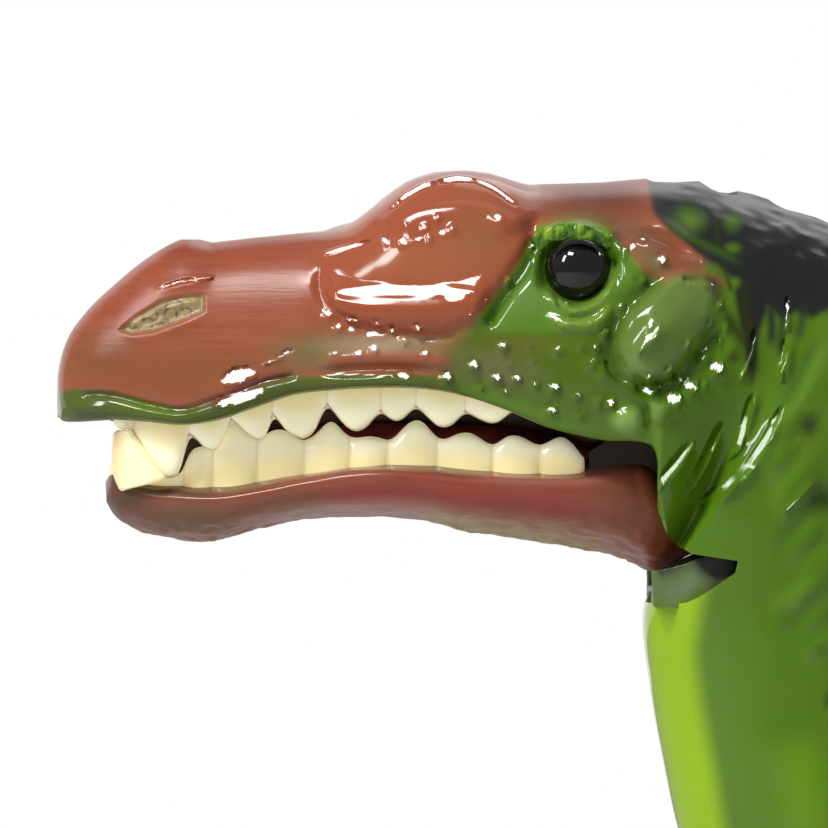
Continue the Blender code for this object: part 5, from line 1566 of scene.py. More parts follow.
    def cut(self, thing: bpy.types.Object, side: Side) -> None:
        """Cut the throat slit, and the screw wells of the right half.

        Args:
            thing: The object to work on.
            side: Which flank.
        """
        tools = [plate("slit", SLIT, side.value * 0.002, side.value * 0.030)]
        if side is Side.RIGHT:
            for x, z in self.wells:
                deselect_all()
                bpy.ops.mesh.primitive_cylinder_add(vertices=32, radius=self.bore_radius, depth=0.03,
                                                    location=(x, 0.021, z), rotation=(math.pi / 2, 0, 0))
                tools.append(bpy.context.object)
                settle(tools[-1])
        tool = join("skin_cutter", tools)
        apply_modifier(thing, "BOOLEAN", object=tool, operation="DIFFERENCE", solver="MANIFOLD")
        bpy.data.objects.remove(tool, do_unlink=True)

    def paint(self, thing: bpy.types.Object) -> None:
        """Colour and gloss for each point.

        Args:
            thing: The object to work on.
        """
        points = mesh_points(thing)
        pixels = PHOTO.pixels(points)
        colours = body_paint(points, pixels)
        colours = apply_marks(self.marks, pixels, "paint", colours)
        noise = GRAIN.cloud(points, 0.003, 3)[:, None]
        rough = Mound((572, 234), (44, 15)).cover(pixels)[:, None] * np.abs(noise) * 1.4
        tint(colours, (114, 163, 16), np.clip(rough, 0, 0.6))
        wrinkle = Patch(((122, 330), (160, 303), (204, 297), (203, 311), (152, 330)), 3).cover(pixels)
        lines = np.clip(1 - np.abs(GRAIN.cloud(points, 0.0013, 2)) * 9, 0, 1)
        tint(colours, (60, 48, 36), wrinkle * lines)
        store(thing, "paint", colours)
        masks = np.zeros((len(points), 3))
        masks[:, 0] = self.gloss(pixels)
        masks[:, 1] = (1 - smooth_step(280, 350, pixels[:, 0])) * (1 - smooth_step(330, 390, pixels[:, 1]))
        store(thing, "finish", masks)

    def gloss(self, pixels: np.ndarray) -> np.ndarray:
        """How glossy each point is.

        Args:
            pixels: Columns and rows, one pair a row.

        Returns:
            The gloss of each point, from 0 to 1.
        """
        gloss = np.full(len(pixels), 0.95)
        snout = (1 - smooth_step(290, 330, pixels[:, 0])) * (1 - smooth_step(345, 375, pixels[:, 1]))
        brow = smooth_step(524, 545, pixels[:, 0]) * (1 - smooth_step(212, 232, pixels[:, 1]))
        back = smooth_step(640, 670, pixels[:, 0]) * (1 - smooth_step(225, 265, pixels[:, 1]))
        gloss -= 0.6 * snout + 0.6 * np.maximum(brow, back)
        for flat in KEY_STREAKS:
            gloss = np.maximum(gloss, flat.carve(pixels, np.zeros(len(pixels))))
        return gloss

    def build(self) -> None:
        """Make, cut, paint and hand over both halves."""
        outer, inner = self.grid()
        for side in Side:
            thing = self.half(side, outer, inner)
            self.cut(thing, side)
            self.paint(thing)
            smooth(thing, 50)
            dress(thing, SKIN.material())
            hand_over(thing, "trunk", "skin", "body_shell_" + side.label)


def body_paint(points: np.ndarray, pixels: np.ndarray) -> np.ndarray:
    """The figure's own pattern: black back, striped green flanks and lime belly.

    Args:
        points: Places on the skin.
        pixels: Where they show.

    Returns:
        Linear colours, one row a point.
    """
    xs = (-0.160, -0.125, -0.105, -0.100, -0.075, -0.05, 0.0, 0.05, 0.12, 0.22)
    top = line_up(xs, (0.236, 0.229, 0.20, 0.173, 0.163, 0.162, 0.152, 0.138, 0.126, 0.129), points[:, 0])
    low = line_up(xs, (0.19, 0.17, 0.145, 0.14, 0.115, 0.098, 0.108, 0.116, 0.114, 0.127), points[:, 0])
    share = (top - points[:, 2]) / np.maximum(top - low, 0.004)
    neck = points[:, 0] < -0.100
    front = line_up((0.13, 0.15, 0.166, 0.183, 0.192), (-0.133, -0.142, -0.148, -0.152, -0.1535),
                    points[:, 2])
    rear = line_up((0.16, 0.17, 0.18, 0.19, 0.21, 0.23), (-0.08, -0.098, -0.104, -0.106, -0.109, -0.126),
                   points[:, 2])
    across = (rear - points[:, 0]) / np.maximum(rear - front, 0.004)
    share = np.where(neck & (points[:, 2] > 0.160), across, share)
    wavy = GRAIN.cloud(points, 0.012, 3)
    colours = flood(GREEN, len(points))
    patches = smooth_step(0.0, 0.5, GRAIN.cloud(points + 3.0, 0.018, 3))[:, None]
    tint(colours, (88, 124, 28), patches)
    rise = np.where(neck, line_up((0.146, 0.168), (0.0, 0.13), points[:, 2]), 0)
    belly = smooth_step(0.76, 0.86, share - rise + wavy * 0.04)[:, None]
    tint(colours, LIME, belly)
    stripes = np.sin(points[:, 0] * 460 + wavy * 2.6) + 0.25 * wavy
    stripe = smooth_step(0.45, 0.75, stripes) * (1 - smooth_step(0.42, 0.62, share + 0.1 * wavy))
    back = 1 - smooth_step(0.12, 0.22, share + wavy * 0.10)
    dark = np.maximum(back, stripe)[:, None] * 0.96
    tint(colours, BLACK_GREEN, dark)
    return colours


# Eyes
@dataclass
class Eye:
    """A glossy black ball under the brow."""

    radius: float = 0.0037
    middle: tuple[float, float, float] = (-0.161276, 0.014541, 0.228386)

    def build(self, side: Side) -> None:
        """Make one eye.

        Args:
            side: Which flank.
        """
        x, y, z = self.middle
        deselect_all()
        bpy.ops.mesh.primitive_uv_sphere_add(segments=48, ring_count=32, radius=self.radius,
                                             location=(x, side.value * y, z), rotation=(math.pi / 2, 0, 0))
        ball = bpy.context.object
        ball.name = ball.data.name = "eyeball_" + side.label
        settle(ball)
        fix_normals(ball)
        smooth(ball, 60)
        dress(ball, EYE.material())
        hand_over(ball, "trunk", "eye", "eye_" + side.label)


@dataclass
class Brow:
    """The rough bright fringe that hangs over the top of the eye."""

    path: tuple = ((539, 250, 2.5), (543, 239, 6.0), (554, 233, 8.0), (572, 231, 8.5), (588, 233, 8.0),
                   (600, 238, 6.5), (609, 247, 2.5))
    out: tuple = ((537, 552, 580, 609), (0.01665, 0.01715, 0.01755, 0.0171))
    shine: float = 0.9

    def build(self, side: Side) -> None:
        """Make one brow.

        Args:
            side: Which flank.
        """
        values = swept(self.path, 150)
        run = np.gradient(values[:, :2], axis=0)
        run /= np.linalg.norm(run, axis=1, keepdims=True)
        across = np.stack((-run[:, 1], run[:, 0]), axis=1)
        out = line_up(*self.out, values[:, 0])
        ring = []
        for step in range(48):
            angle = math.tau * step / 48
            place = values[:, :2] + across * (values[:, 2] * math.cos(angle))[:, None]
            y = out + values[:, 2] * PHOTO.pixel * 0.8 * math.sin(angle)
            ring.append(PHOTO.sheet(place[:, 0], side.value * y, place[:, 1]))
        thing = tube("brow_fringe_" + side.label, draw_in(np.stack(ring, axis=1)))
        points, normals = mesh_points(thing), mesh_normals(thing)
        rough = GRAIN.cloud(points * np.array([1.0, 1, 0.8]), 0.0009, 3)
        set_points(thing, points + normals * (rough * 0.0003)[:, None])
        colours = flood((76, 116, 22), len(points))
        # Painted highlight and painted shade: paler where the fringe stands out, darker in its hollows.
        tint(colours, (126, 166, 40), smooth_step(0.05, 0.5, rough))
        tint(colours, (46, 72, 20), smooth_step(-0.05, -0.45, rough))
        coat(thing, colours, self.shine, 60, SKIN)
        hand_over(thing, "trunk", "skin")


# Mouth
@dataclass
class ToothRow:
    """A strip of moulded teeth that runs round the jaw."""

    name: str
    node: str
    body: str
    path: tuple
    root: tuple
    edge: tuple
    gaps: tuple
    front: float
    # How strong the painted shade line along the biting edge is.
    outline: float = 0.0
    thick: float = 0.0021
    step: float = 0.00018
    front_tooth: float = 0.0031
    scallop: float = 5.0

    def centre_line(self) -> tuple[np.ndarray, np.ndarray]:
        """Points along the strip and how far along each lies.

        Returns:
            The points, and the distance along the strip to each.
        """
        half = np.array([(PHOTO.flat((u, 0))[0], y * MM) for u, y in self.path])
        whole = np.concatenate((half, (half * np.array([1.0, -1.0]))[::-1][1:]))
        turns = chord(whole)
        at = np.linspace(0, turns[-1], int(turns[-1] / self.step))
        return spline(turns, whole, at), at

    def heights(self, u: np.ndarray) -> tuple[np.ndarray, np.ndarray]:
        """The root and the biting edge above given pixel columns."""
        return line_up(*zip(*self.root), u), line_up(*zip(*self.edge), u)

    def profile(self, line: np.ndarray, at: np.ndarray) -> tuple[np.ndarray, np.ndarray, np.ndarray]:
        """Root height, edge height and how far each point is into its tooth.

        Args:
            line: The strip's middle line.
            at: The distance travelled along it.

        Returns:
            Pixel rows of root and edge, and a bulge from 0 at a gap to 1 at a tooth's middle.
        """
        u = PHOTO.anchor[0] + (line[:, 0] - PHOTO.anchor_x) / PHOTO.pixel
        root, edge = self.heights(u)
        soft = np.exp(-(np.arange(-6, 7) / 3.0) ** 2)
        padded = np.pad(edge, 6, mode="edge")
        edge = np.convolve(padded, soft / soft.sum(), mode="valid")
        gaps = np.array(self.gaps, float)
        index = np.clip(np.searchsorted(gaps, u, side="right") - 1, 0, len(gaps) - 2)
        phase = np.clip((u - gaps[index]) / (gaps[index + 1] - gaps[index]), 0, 1)
        round_front = (at - at[-1] / 2) / self.front_tooth
        ahead = u < self.front
        phase = np.where(ahead, round_front % 1.0, phase)
        bulge = np.sqrt(np.clip(np.sin(np.pi * phase), 0, 1))
        bite = np.sign(edge.mean() - root.mean())
        edge = np.where(ahead, edge - bite * self.scallop * (1 - bulge), edge)
        return root, edge, bulge

    def build(self) -> None:
        """Make the strip with its rounded teeth."""
        line, at = self.centre_line()
        root, edge, bulge = self.profile(line, at)
        run = np.gradient(line, axis=0)
        run /= np.linalg.norm(run, axis=1, keepdims=True)
        out = np.stack((-run[:, 1], run[:, 0]), axis=1)
        out *= np.sign((out * (line - np.array([line[:, 0].max(), 0]))).sum(axis=1).mean())
        faces = 15
        rise = np.concatenate((np.linspace(0, 1, faces), np.linspace(1, 0, faces)[1:]))
        ring = []
        for column, share in enumerate(rise):
            sign = 1.0 if column < faces else -1.0
            taper = math.sqrt(max(1 - share ** 3.2, 0)) * 0.85
            offset = sign * taper * (self.thick / 2 * (0.62 + 0.38 * bulge) + 0.0004 * bulge)
            v = root + (edge - root) * share
            ring.append(np.stack((line[:, 0] + out[:, 0] * offset, line[:, 1] + out[:, 1] * offset,
                                  PHOTO.anchor_z + (PHOTO.anchor[1] - v) * PHOTO.pixel), axis=1))
        thing = tube(self.name, draw_in(np.stack(ring, axis=1)))
        self.finish(thing)

    def finish(self, thing: bpy.types.Object) -> None:
        """Paint the strip: tan at the gum and pale at the tips, with painted shade between the teeth and
        along the biting edge.

        Args:
            thing: The object to work on.
        """
        points = mesh_points(thing)
        pixels = PHOTO.pixels(points)
        root, edge = self.heights(pixels[:, 0])
        share = (pixels[:, 1] - root) / (edge - root)
        colours = flood((255, 238, 176), len(points))
        tint(colours, (255, 250, 212), smooth_step(0.3, 0.75, share))
        # Painted shade: a tan line where two teeth meet.
        gaps = np.abs(pixels[:, 0][:, None] - np.array(self.gaps)[None, 1:-1]).min(axis=1)
        tint(colours, (206, 166, 100), 0.4 * np.exp(-(gaps / 1.4) ** 2))
        # Painted shade: a brown line along the biting edge, where the other row lies behind.
        rim = self.outline * np.exp(-((pixels[:, 1] - edge) / 1.7) ** 2)
        tint(colours, (120, 84, 52), np.clip(rim, 0, 1))
        coat(thing, colours, 0.8, 55, IVORY)
        hand_over(thing, self.body, "tooth", self.node)


UPPER_ROW = ToothRow(
    "upper_tooth_row", "upper_teeth", "trunk",
    ((516, 12.3), (472, 11.5), (432, 10.7), (392, 9.8), (352, 9.0), (312, 8.2), (272, 7.5), (232, 6.9),
     (192, 6.6), (165, 6.4), (145, 5.6), (132, 4.0), (125, 2.2), (123, 0)),
    ((110, 408), (185, 412), (250, 398), (330, 377), (400, 374), (460, 380), (516, 394)),
    ((108, 428), (133, 431), (141, 444), (150, 461), (158, 474), (165, 479), (176, 477), (181, 474),
     (184, 456), (187, 441), (189, 434), (194, 437), (200, 444), (207, 450), (213, 452), (219, 449),
     (225, 437), (229, 423), (231, 419), (238, 425), (247, 434), (254, 439), (261, 441), (266, 438),
     (269, 430), (271, 418), (273, 414), (277, 419), (284, 429), (291, 435), (303, 440), (310, 437),
     (316, 430), (321, 418), (325, 408), (327, 404), (331, 409), (338, 418), (346, 427), (352, 431),
     (358, 432), (365, 429), (372, 422), (378, 414), (381, 411), (386, 416), (391, 420), (397, 422),
     (404, 419), (411, 411), (416, 407), (422, 412), (430, 420), (438, 427), (446, 428), (453, 425),
     (459, 419), (465, 412), (471, 415), (480, 420), (490, 424), (498, 423), (505, 418), (510, 413),
     (516, 411)),
    (108, 134, 189, 231, 272, 327, 381, 416, 465, 516), 131, 0.75)
LOWER_ROW = ToothRow(
    "lower_tooth_row", "lower_teeth", "jaw",
    ((584, 10.9), (540, 10.2), (500, 9.6), (460, 8.9), (420, 8.2), (380, 7.5), (340, 6.8), (300, 6.1),
     (260, 5.5), (220, 4.8), (180, 4.0), (150, 3.2), (132, 2.3), (121, 1.2), (117, 0)),
    ((110, 494), (150, 492), (200, 494), (260, 488), (330, 476), (420, 472), (508, 476), (584, 474)),
    ((110, 446), (150, 452), (166, 476), (181, 476), (185, 464), (189, 452), (193, 448), (204, 446),
     (212, 444), (220, 436), (226, 425), (231, 420), (237, 424), (244, 431), (251, 437), (257, 440),
     (264, 436), (270, 431), (279, 429), (288, 431), (296, 438), (304, 441), (311, 438), (318, 432),
     (325, 424), (332, 420), (338, 425), (345, 434), (350, 437), (358, 438), (368, 436), (378, 437),
     (388, 441), (394, 438), (401, 430), (408, 423), (417, 419), (425, 423), (431, 431), (437, 438),
     (444, 440), (452, 436), (460, 433), (468, 432), (476, 435), (484, 441), (493, 446), (500, 441),
     (507, 436), (515, 435), (523, 437), (531, 442), (540, 446), (548, 442), (555, 438), (562, 436),
     (569, 440), (575, 446), (580, 453), (584, 460)),
    (108, 184, 213, 257, 304, 350, 388, 437, 493, 540, 584), 150)


@dataclass
class Tusk:
    """The large front tooth that stands outside the lower jaw's rim on each flank."""

    rows: tuple = ((430, 117, 131), (434, 113.5, 134), (442, 112.5, 140), (455, 112, 149),
                   (468, 112.5, 158), (478, 114, 165.5), (482, 115.5, 157), (486, 117.5, 142),
                   (490, 120, 126), (491, 121.5, 123.5))
    path: tuple = ((108, 118, 130, 150, 170), (3.4, 4.7, 5.9, 7.1, 7.9))
    thick: float = 0.0009

    def build(self, side: Side) -> None:
        """Make one tusk.

        Args:
            side: Which flank.
        """
        rows = np.array(self.rows, float)
        turns = chord(rows)
        values = spline(turns, rows, np.linspace(0, turns[-1], 60))
        middle, half = (values[:, 1] + values[:, 2]) / 2, np.maximum((values[:, 2] - values[:, 1]) / 2, 0.3)
        ring = []
        for step in range(28):
            angle = math.tau * step / 28
            u = middle + half * math.cos(angle)
            swell = np.minimum(1, half / 8) * self.thick * math.sin(angle)
            y = line_up(*self.path, u) * MM + swell
            ring.append(PHOTO.sheet(u, side.value * y, values[:, 0]))
        thing = tube("lower_tusk_" + side.label, draw_in(np.stack(ring, axis=1)))
        points = mesh_points(thing)
        pixels = PHOTO.pixels(points)
        colours = flood((255, 240, 190), len(points))
        edge = smooth_step(131, 112, pixels[:, 0]) * 0.5
        tint(colours, (214, 172, 120), edge)
        coat(thing, colours, 0.8, 55, IVORY)
        hand_over(thing, "jaw", "tooth")


@dataclass
class LowerJaw:
    """The biting jaw with its rolled lip, and the plates that hang it on its pin."""

    sections: tuple = (
        ((105, 482), (106, 502), 0.025), ((110, 475), (115, 517), 0.085), ((127, 478), (135, 529), 0.135),
        ((150, 483), (160, 537), 0.172), ((180, 485), (190, 541), 0.205), ((215, 486), (220, 540), 0.228),
        ((260, 481), (260, 528), 0.250), ((310, 473), (310, 519), 0.275), ((360, 465), (360, 517), 0.300),
        ((410, 462), (415, 519), 0.323), ((460, 465), (466, 531), 0.343), ((510, 468), (520, 539), 0.358),
        ((560, 467), (575, 547), 0.368), ((600, 461), (625, 559), 0.366), ((628, 454), (655, 570), 0.345),
        ((643, 454), (687, 557), 0.318), ((652, 457), (697, 553), 0.280))
    ring: tuple = ((0.30, 0), (0.30, 0.18), (0.27, 0.30), (0.12, 0.40), (0.01, 0.48), (0.0, 0.56),
                   (0.02, 0.64), (0.08, 0.80), (0.155, 0.93), (0.22, 0.985), (0.30, 1.0), (0.42, 0.985),
                   (0.58, 0.93), (0.72, 0.82), (0.86, 0.60), (0.96, 0.30), (1, 0))
    ear_outline: tuple = ((589, 486), (589, 452), (603, 443), (608, 428), (613, 412), (625, 401),
                          (640, 397), (655, 401), (667, 412), (671, 428), (674, 470), (674, 500))
    columns: int = 90
    step: float = 0.00035
    hinge: Pixel = (640, 428)

    def marks(self) -> list[Mark]:
        """Colours of the jaw's side, with painted highlights along its lip roll.

        Returns:
            The marks.
        """
        return [
            Mark(Patch(((80, 440), (720, 440), (720, 620), (80, 620)), 4), 0, (134, 72, 50)),
            Mark(Mound((120, 500), (60, 40)), 0, (84, 56, 34), 0.95),
            Mark(Mound((190, 522), (90, 30)), 0, (108, 84, 62), 0.95),
            Mark(Mound((290, 510), (90, 22)), 0, (128, 84, 62), 0.8),
            Mark(Stroke(((300, 498), (400, 494), (520, 500), (610, 505)), 17, 0.2), 0, (150, 60, 50), 0.95),
            Mark(Stroke(((400, 524), (460, 532), (540, 546), (620, 562)), 18, 0.2), 0, (138, 112, 34),
                 0.98),
            Mark(Stroke(((600, 520), (640, 535), (660, 552)), 16), 0, (132, 68, 44), 0.8),
            Mark(Stroke(((104, 480), (150, 489), (190, 491), (240, 485), (300, 475), (360, 466), (420, 463),
                         (470, 465), (520, 467)), 6.5, 0.03), 0, (88, 68, 50), 0.9),
            Mark(Stroke(((420, 462), (500, 466), (580, 463), (636, 453)), 9, 0.1), 0, (106, 88, 76), 0.9),
            # Painted highlight: pale strokes along the lip roll, each on a small real ridge.
            Mark(Stroke(((460, 478), (540, 482), (610, 478), (636, 470)), 5), 3, (166, 104, 92), 0.6),
            Mark(Stroke(((240, 486), (300, 480), (360, 474), (420, 474)), 5), 3, (156, 96, 80), 0.5),
        ]

    def grid(self) -> np.ndarray:
        """Rings of points along the jaw.

        Returns:
            Points by row, column and axis.
        """
        rows = np.array([(*PHOTO.flat(top), *PHOTO.flat(low), share * HEAD_WIDTH)
                         for top, low, share in self.sections])
        turns = (chord(rows[:, 0:2]) + chord(rows[:, 2:4])) / 2
        at = np.arange(0, turns[-1], self.step)
        values = spline(turns, rows, at)
        full = Ladder.shape(self.ring, self.columns, True)
        plain = full.copy()
        plain[:, 0] = np.where(plain[:, 1] < 0.55, np.minimum(plain[:, 0], 0.02), plain[:, 0])
        plain[:, 0] = np.where(full[:, 0] > 0.5, full[:, 0], plain[:, 0])
        trough = smooth_step(0.012, 0.02, at)[:, None]
        down = plain[:, 0] * (1 - trough) + full[:, 0] * trough
        out = full[:, 1][None, :] * values[:, 4:5]
        x = values[:, 0:1] + (values[:, 2:3] - values[:, 0:1]) * down
        z = values[:, 1:2] + (values[:, 3:4] - values[:, 1:2]) * down
        half = np.stack((x, out, z), axis=2)
        other = half[:, ::-1][:, 1:-1] * np.array([1.0, -1.0, 1.0])
        return draw_in(np.concatenate((half, other), axis=1))

    def build(self) -> None:
        """Make the jaw."""
        thing = tube("jaw_skin", self.grid())
        points, normals = mesh_points(thing), mesh_normals(thing)
        pixels = PHOTO.pixels(points)
        marks = self.marks()
        lift = apply_marks(marks, pixels, "lift", np.zeros(len(points)))
        under = smooth_step(500, 535, pixels[:, 1])
        lift += 3.2 * under * GRAIN.cloud(points, 0.0016, 3)
        lift += 1.0 * GRAIN.cloud(points, 0.006, 2)
        set_points(thing, points + normals * (lift * PHOTO.pixel)[:, None])
        colours = flood((140, 90, 68), len(points))
        colours = apply_marks(marks, pixels, "paint", colours)
        inside = (np.abs(points[:, 1]) < 0.6 * self.width_at(points)) & (normals[:, 2] > 0.2)
        colours[inside] = linear((92, 60, 50))
        store(thing, "paint", colours)
        masks = np.zeros((len(points), 3))
        masks[:, 0] = 0.8 - 0.5 * smooth_step(495, 530, pixels[:, 1])
        masks[:, 1] = 0.4
        store(thing, "finish", masks)
        smooth(thing, 60)
        ears = [self.ear(side) for side in Side]
        dress(thing, JAW_SKIN.material())
        thing = join("jaw_skin", [thing] + ears)
        hand_over(thing, "jaw", "jaw", "lower_jaw")

    def width_at(self, points: np.ndarray) -> np.ndarray:
        """Half the jaw's width at each point."""
        xs = [PHOTO.flat(top)[0] for top, _, _ in self.sections]
        return np.interp(points[:, 0], xs, [share * HEAD_WIDTH for _, _, share in self.sections])

    def ear(self, side: Side) -> bpy.types.Object:
        """The plate that hangs one side of the jaw on its pin.

        Args:
            side: Which flank.

        Returns:
            The object.
        """
        ear = plate("ear", self.ear_outline, side.value * 0.0092, side.value * 0.0108)
        store(ear, "paint", flood((52, 34, 30), len(ear.data.vertices)))
        even_gloss(ear, 0.3)
        dress(ear, JAW_SKIN.material())
        return ear


def plate(name: str, outline: tuple, near: float, far: float) -> bpy.types.Object:
    """A flat plate with an outline given in pixels.

    Args:
        name: The plate's name.
        outline: Its corners.
        near: The y of one face.
        far: The y of the other face.

    Returns:
        The object.
    """
    places = [PHOTO.place(pixel, (near + far) / 2) for pixel in outline]
    points = np.array([(p.x, y, p.z) for y in (near, far) for p in places])
    count = len(outline)
    faces = [list(range(count)), list(range(count, 2 * count))]
    faces += [[k, (k + 1) % count, count + (k + 1) % count, count + k] for k in range(count)]
    thing = new_mesh(name, points, faces)
    fix_normals(thing)
    return thing


@dataclass
class Mouth:
    """The tongue, and the roof with the ridge that hangs down its middle."""

    tongue: tuple = ((150, 478, 488, 1.6), (180, 472, 488, 2.0), (205, 466, 486, 2.4), (225, 452, 484, 3.0),
                     (252, 437, 482, 3.6), (290, 428, 476, 4.0), (350, 423, 468, 4.3), (420, 422, 466, 4.6),
                     (480, 424, 468, 4.7), (530, 431, 470, 4.7), (570, 440, 470, 4.4), (594, 445, 470, 4.4),
                     (616, 451, 470, 4.0), (632, 457, 468, 2.4))
    groove: float = 16.0
    groove_width: float = 0.00125
    roof: tuple = ((96, 402, 0.17), (150, 403, 0.22), (210, 399, 0.25), (252, 390, 0.27), (294, 380, 0.285),
                   (338, 375, 0.30), (400, 373, 0.335), (464, 379, 0.37), (506, 392, 0.395),
                   (550, 408, 0.41), (594, 418, 0.42))
    keel: tuple = ((96, 416), (140, 430), (158, 466), (175, 473), (190, 473), (203, 466), (216, 452),
                   (240, 436), (350, 433), (420, 433), (480, 434), (520, 438), (594, 446))
    keel_width: float = 0.0008
    back: tuple = ((556, 416, 436, 6.0), (575, 418, 445, 8.0), (597, 422, 449, 8.6), (630, 428, 451, 8.6),
                   (652, 434, 448, 8.0))

    def build(self) -> None:
        """Make the tongue and the roof."""
        values = swept(self.tongue, 90)
        angles = np.linspace(0, math.tau, 96, endpoint=False)
        ring = []
        for angle in angles:
            top, low = values[:, 1], values[:, 2]
            v = (top + low) / 2 - (low - top) / 2 * math.sin(angle)
            y = values[:, 3] * MM * math.copysign(abs(math.cos(angle)) ** 0.8, math.cos(angle))
            groove = self.groove * np.exp(-(y / self.groove_width) ** 4) * (math.sin(angle) > 0)
            groove = np.minimum(groove, (low - top) * 0.5)
            ring.append(PHOTO.sheet(values[:, 0], y, (v + groove)))
        thing = tube("tongue_flesh", np.stack(ring, axis=1))
        points = mesh_points(thing)
        lumps = GRAIN.cloud(points, 0.0015, 2) * 0.00012
        set_points(thing, points + mesh_normals(thing) * lumps[:, None])
        self.dye(thing, points, (150, 62, 56), (96, 34, 32))
        hand_over(thing, "jaw", "mouth", "tongue")
        self.build_roof()

    def build_roof(self) -> None:
        """Make the roof plate with its middle ridge."""
        rows = np.array(self.roof, float)
        at = np.linspace(rows[0, 0], rows[-1, 0], 90)
        top = np.interp(at, rows[:, 0], rows[:, 1])
        width = np.interp(at, rows[:, 0], rows[:, 2]) * HEAD_WIDTH
        keel = line_up(*zip(*self.keel), at)
        shares = np.concatenate((np.linspace(-1, 1, 121), np.linspace(1, -1, 21)[1:-1]))
        ring = []
        for number, share in enumerate(shares):
            y = share * width
            if number < 121:
                ridge = np.exp(-(y / self.keel_width) ** 4)
                v = top + (keel - top) * ridge + 1.2 * np.sin(at * 0.35) * (1 - ridge)
            else:
                v = top - 12
            ring.append(PHOTO.sheet(at, y, v))
        thing = tube("mouth_roof", np.stack(ring, axis=1))
        thing = join("mouth_roof", [thing, self.mouth_back()])
        # Very dark reds: the roof's own flesh, darkened further as painted shade so the gaps between the
        # teeth read as the shadowed mouth.
        self.dye(thing, mesh_points(thing), (70, 26, 24), (34, 16, 16))
        hand_over(thing, "trunk", "mouth", "palate")

    def mouth_back(self) -> bpy.types.Object:
        """The rounded flesh that closes the mouth behind the tongue.

        Returns:
            The object.
        """
        values = swept(self.back, 30)
        ring = []
        for step in range(32):
            angle = math.tau * step / 32
            across = math.copysign(abs(math.cos(angle)) ** 0.5, math.cos(angle))
            down = math.copysign(abs(math.sin(angle)) ** 0.5, math.sin(angle))
            v = (values[:, 1] + values[:, 2]) / 2 + (values[:, 2] - values[:, 1]) / 2 * down
            ring.append(PHOTO.sheet(values[:, 0], values[:, 3] * MM * across, v))
        return tube("mouth_back", np.stack(ring, axis=1))

    @staticmethod
    def dye(thing: bpy.types.Object, points: np.ndarray, first: Colour, second: Colour) -> None:
        """Blend two reds over a piece and finish it.

        Args:
            thing: The piece.
            points: Places, one row each.
            first: The one red.
            second: The other red.
        """
        share = smooth_step(-0.5, 0.6, GRAIN.cloud(points, 0.004, 3))[:, None]
        colours = np.array(linear(first)) * (1 - share) + np.array(linear(second)) * share
        coat(thing, colours, 0.6, 60, FLESH)


@dataclass
class Throat:
    """The soft pad that fills the throat behind the jaw's path."""

    hinge: Pixel = (640, 428)
    inner: float = 159.0
    outer: float = 181.0
    start: float = 46.0
    end: float = 86.0
    half_width: float = 0.0128
    flange_inner: float = 141.0
    flange_y: float = 0.0113
    flange_outline: tuple = ((738, 562), (737, 576), (724, 586), (711, 595), (700, 602), (689, 607),
                             (675, 609), (651, 608))

    def flange_plate(self, side: Side) -> bpy.types.Object:
        """The raised edge of the pad that closes the throat beside the jaw.

        Args:
            side: Which flank.

        Returns:
            The object.
        """
        turns = np.radians(np.linspace(self.end, self.start + 4, 40))
        arc = tuple((self.hinge[0] + self.flange_inner * math.cos(t),
                     self.hinge[1] + self.flange_inner * math.sin(t))
                    for t in turns)
        return plate("flange", arc + self.flange_outline, side.value * self.flange_y,
                     side.value * (self.half_width + 0.0002))

    def build(self) -> None:
        """Make the pad."""
        rings = []
        x0, z0 = PHOTO.flat((0, 0))
        for degrees in np.linspace(self.start, self.end, 60):
            turn = math.radians(degrees)
            ring = []
            for step in range(40):
                angle = math.tau * step / 40
                across = math.copysign(abs(math.cos(angle)) ** 0.45, math.cos(angle))
                along = math.copysign(abs(math.sin(angle)) ** 0.45, math.sin(angle))
                reach = (self.inner + self.outer) / 2 + (self.outer - self.inner) / 2 * along
                ring.append((x0 + (self.hinge[0] + reach * math.cos(turn)) * PHOTO.pixel,
                             self.half_width * across,
                             z0 - (self.hinge[1] + reach * math.sin(turn)) * PHOTO.pixel))
            rings.append(ring)
        pad = tube("throat_pad", draw_in(np.array(rings)))
        thing = join("throat_pad", [pad] + [self.flange_plate(side) for side in Side])
        apply_modifier(thing, "REMESH", mode="VOXEL", voxel_size=0.00028)
        apply_modifier(thing, "SMOOTH", factor=0.5, iterations=4)
        points, normals = mesh_points(thing), mesh_normals(thing)
        lumps = GRAIN.cloud(points, 0.004, 3)
        set_points(thing, points + normals * (lumps * 0.00025 - 0.0001)[:, None])
        pixels = PHOTO.pixels(points)
        colours = flood((98, 116, 68), len(points))
        tint(colours, (70, 80, 56), smooth_step(-0.2, 0.5, lumps))
        marks = [
            Mark(Mound((700, 578), (24, 14)), 0, (118, 132, 92), 0.8),
            Mark(Stroke(((656, 604), (676, 606), (700, 592)), 7, 0), 0, (92, 120, 36), 0.8),
            Mark(Stroke(((656, 572), (676, 564), (690, 556)), 8, 0.1), 0, (40, 52, 34), 0.9),
            Mark(Stroke(((664, 596), (690, 584), (716, 570)), 7, 0.1), 0, (110, 126, 92), 0.7),
            # Painted shade: near-black where the pad recedes into the slit.
            Mark(Patch(((686, 540), (750, 540), (744, 576), (716, 580), (702, 571), (690, 556)), 4), 0,
                 (22, 18, 17)),
        ]
        colours = apply_marks(marks, pixels, "paint", colours)
        coat(thing, colours, 0.3, 60, FLESH)
        hand_over(thing, "trunk", "throat", "throat_liner")


# Limbs and tail
LIMB_RING = ((0, 0), (0.03, 0.44), (0.12, 0.74), (0.27, 0.93), (0.45, 1.0), (0.60, 0.99), (0.78, 0.86),
             (0.93, 0.52), (1, 0))


